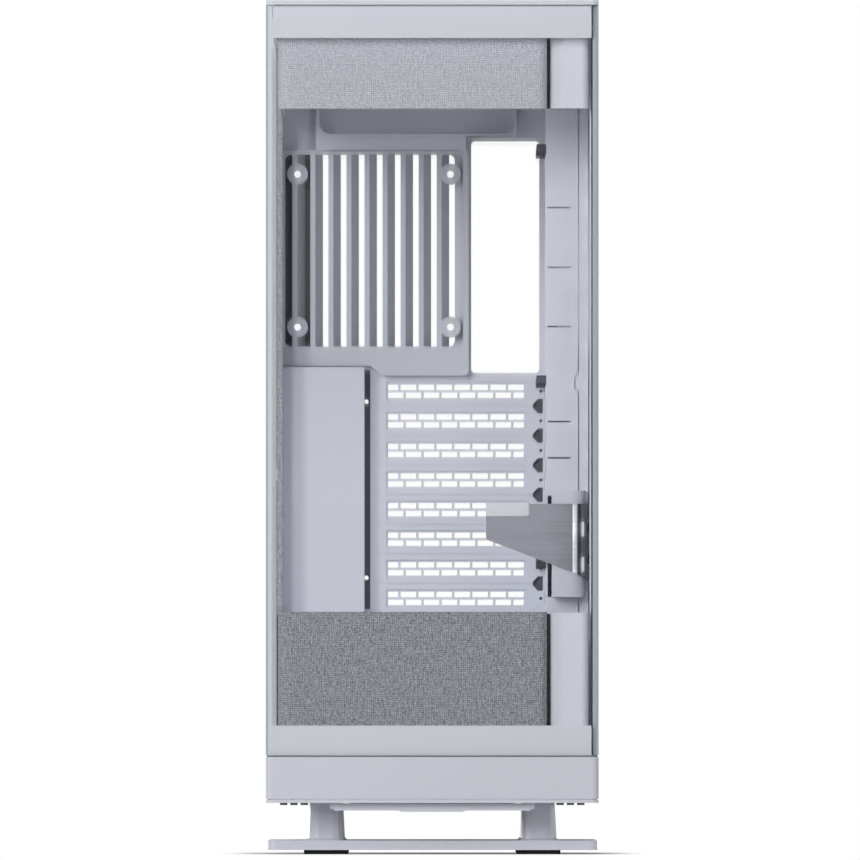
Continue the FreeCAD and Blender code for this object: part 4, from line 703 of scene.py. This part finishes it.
world = bpy.data.worlds.new("white_studio")
world.use_nodes = True
world.node_tree.nodes.clear()
fill = put(world.node_tree, "Background", {"Color": linear("#FAFAFF"), "Strength": FILL})
white = put(world.node_tree, "Background", {"Color": WHITE, "Strength": 1.0})
sky = put(world.node_tree, "MixShader",
          {0: sees_background(world.node_tree), 1: fill.outputs[0], 2: white.outputs[0]})
put(world.node_tree, "OutputWorld", {"Surface": sky.outputs[0]})
scene.world = world
print("world fill", FILL)

# %% [markdown]
# ## Floor
# A wide floor would meet the white world in a grey line. So the floor shows its own shade only near the case
# and fades to plain white a few centimetres outside it.

# %% Floor
FLOOR_HALF = 40.0
FLOOR_GLOW = 0.12
FOOTPRINT_HALF = (0.112, 0.22)
FADE_START = 1.0
FADE_END = 1.32
FADE_ROUNDING = 0.9


def pale_floor():
    """Mix a matt floor into white by its distance from the case.

    Both distances from the middle are measured in halves of the footprint, so the larger one is 1 at the edge
    of the case. A smooth maximum of the two rounds the corners.
    """
    material = bpy.data.materials.new("pale_floor")
    material.use_nodes = True
    tree = material.node_tree
    tree.nodes.clear()
    matt = put(tree, "BsdfDiffuse", {"Color": linear("#EBEBEB")})
    glow = put(tree, "Emission", {"Color": WHITE, "Strength": FLOOR_GLOW})
    near = put(tree, "AddShader", {0: matt.outputs[0], 1: glow.outputs[0]})
    far = put(tree, "Emission", {"Color": WHITE, "Strength": 1.0})
    place = put(tree, "TexCoord")
    shares = (1 / FOOTPRINT_HALF[0], 1 / FOOTPRINT_HALF[1], 0.0)
    stands = put(tree, "VectorMath", {0: place.outputs["Object"], 1: shares}, operation="MULTIPLY")
    sides = put(tree, "VectorMath", {0: stands.outputs["Vector"]}, operation="ABSOLUTE")
    away = put(tree, "SeparateXYZ", {"Vector": sides.outputs["Vector"]})
    reach = put(tree, "Math", {0: away.outputs["X"], 1: away.outputs["Y"], 2: FADE_ROUNDING},
                operation="SMOOTH_MAX")
    fade = put(tree, "MapRange", {"Value": reach.outputs[0], "From Min": FADE_START, "From Max": FADE_END},
               interpolation_type="SMOOTHSTEP")
    lit = put(tree, "MixShader", {0: fade.outputs["Result"], 1: near.outputs[0], 2: far.outputs[0]})
    seen = put(tree, "MixShader", {0: sees_background(tree), 1: matt.outputs[0], 2: lit.outputs[0]})
    put(tree, "OutputMaterial", {"Surface": seen.outputs[0]})
    return material


floor_mesh = bpy.data.meshes.new("floor")
floor_corners = [(FLOOR_HALF * x, FLOOR_HALF * y, 0) for x, y in ((-1, -1), (1, -1), (1, 1), (-1, 1))]
floor_mesh.from_pydata(floor_corners, [], [(0, 1, 2, 3)])
floor = bpy.data.objects.new("floor", floor_mesh)
scene.collection.objects.link(floor)
floor_mesh.materials.append(pale_floor())
print("floor", 2 * FLOOR_HALF, "m wide")

# %% [markdown]
# ## Lamps
# Wide lamps in front give the soft even light of the picture, stronger from the left. Weaker ones light the
# left side, the back, the right side and the top. The lamps at the back and the right stand lower than the
# lid, because from above they would shine on it as clipped white patches.

# %% Lamps
LAMP_AIM = Vector((0.0, 0.0, 0.3))
# name, place, width and height in metres, power in watts
LAMPS = (
    ("key_lamp", (-2.7, -4.2, 1.3), (1.0, 1.8), 62.0),
    ("front_lamp", (-1.4, -4.8, 1.6), (0.8, 1.4), 60.0),
    ("right_lamp", (1.0, -5.3, 0.3), (0.7, 0.5), 16.0),
    ("high_lamp", (1.0, -4.4, 2.7), (0.8, 0.8), 16.0),
    ("left_lamp", (-3.8, -0.9, 0.5), (0.8, 0.8), 12.0),
    ("back_lamp", (-2.6, 4.2, 0.35), (1.8, 0.4), 40.0),
    ("side_lamp", (4.2, 0.2, 0.35), (1.4, 0.4), 20.0),
    ("top_lamp", (-0.2, 0.5, 3.2), (2.0, 2.0), 26.0),
)


def soft_lamp(name, place, size, power):
    """A rectangular area lamp at a place, turned towards the middle of the case."""
    lamp = bpy.data.lights.new(name, "AREA")
    lamp.shape = "RECTANGLE"
    lamp.size, lamp.size_y = size
    lamp.energy = power
    lamp_object = bpy.data.objects.new(name, lamp)
    lamp_object.location = place
    lamp_object.rotation_euler = (LAMP_AIM - Vector(place)).to_track_quat("-Z", "Y").to_euler()
    scene.collection.objects.link(lamp_object)


for lamp_values in LAMPS:
    soft_lamp(*lamp_values)
print("lamps", len(LAMPS))

# %% [markdown]
# ## View transform
# The view transform stays on Standard, so a colour renders as it is written.

# %% Finish
scene.view_settings.view_transform = "Standard"
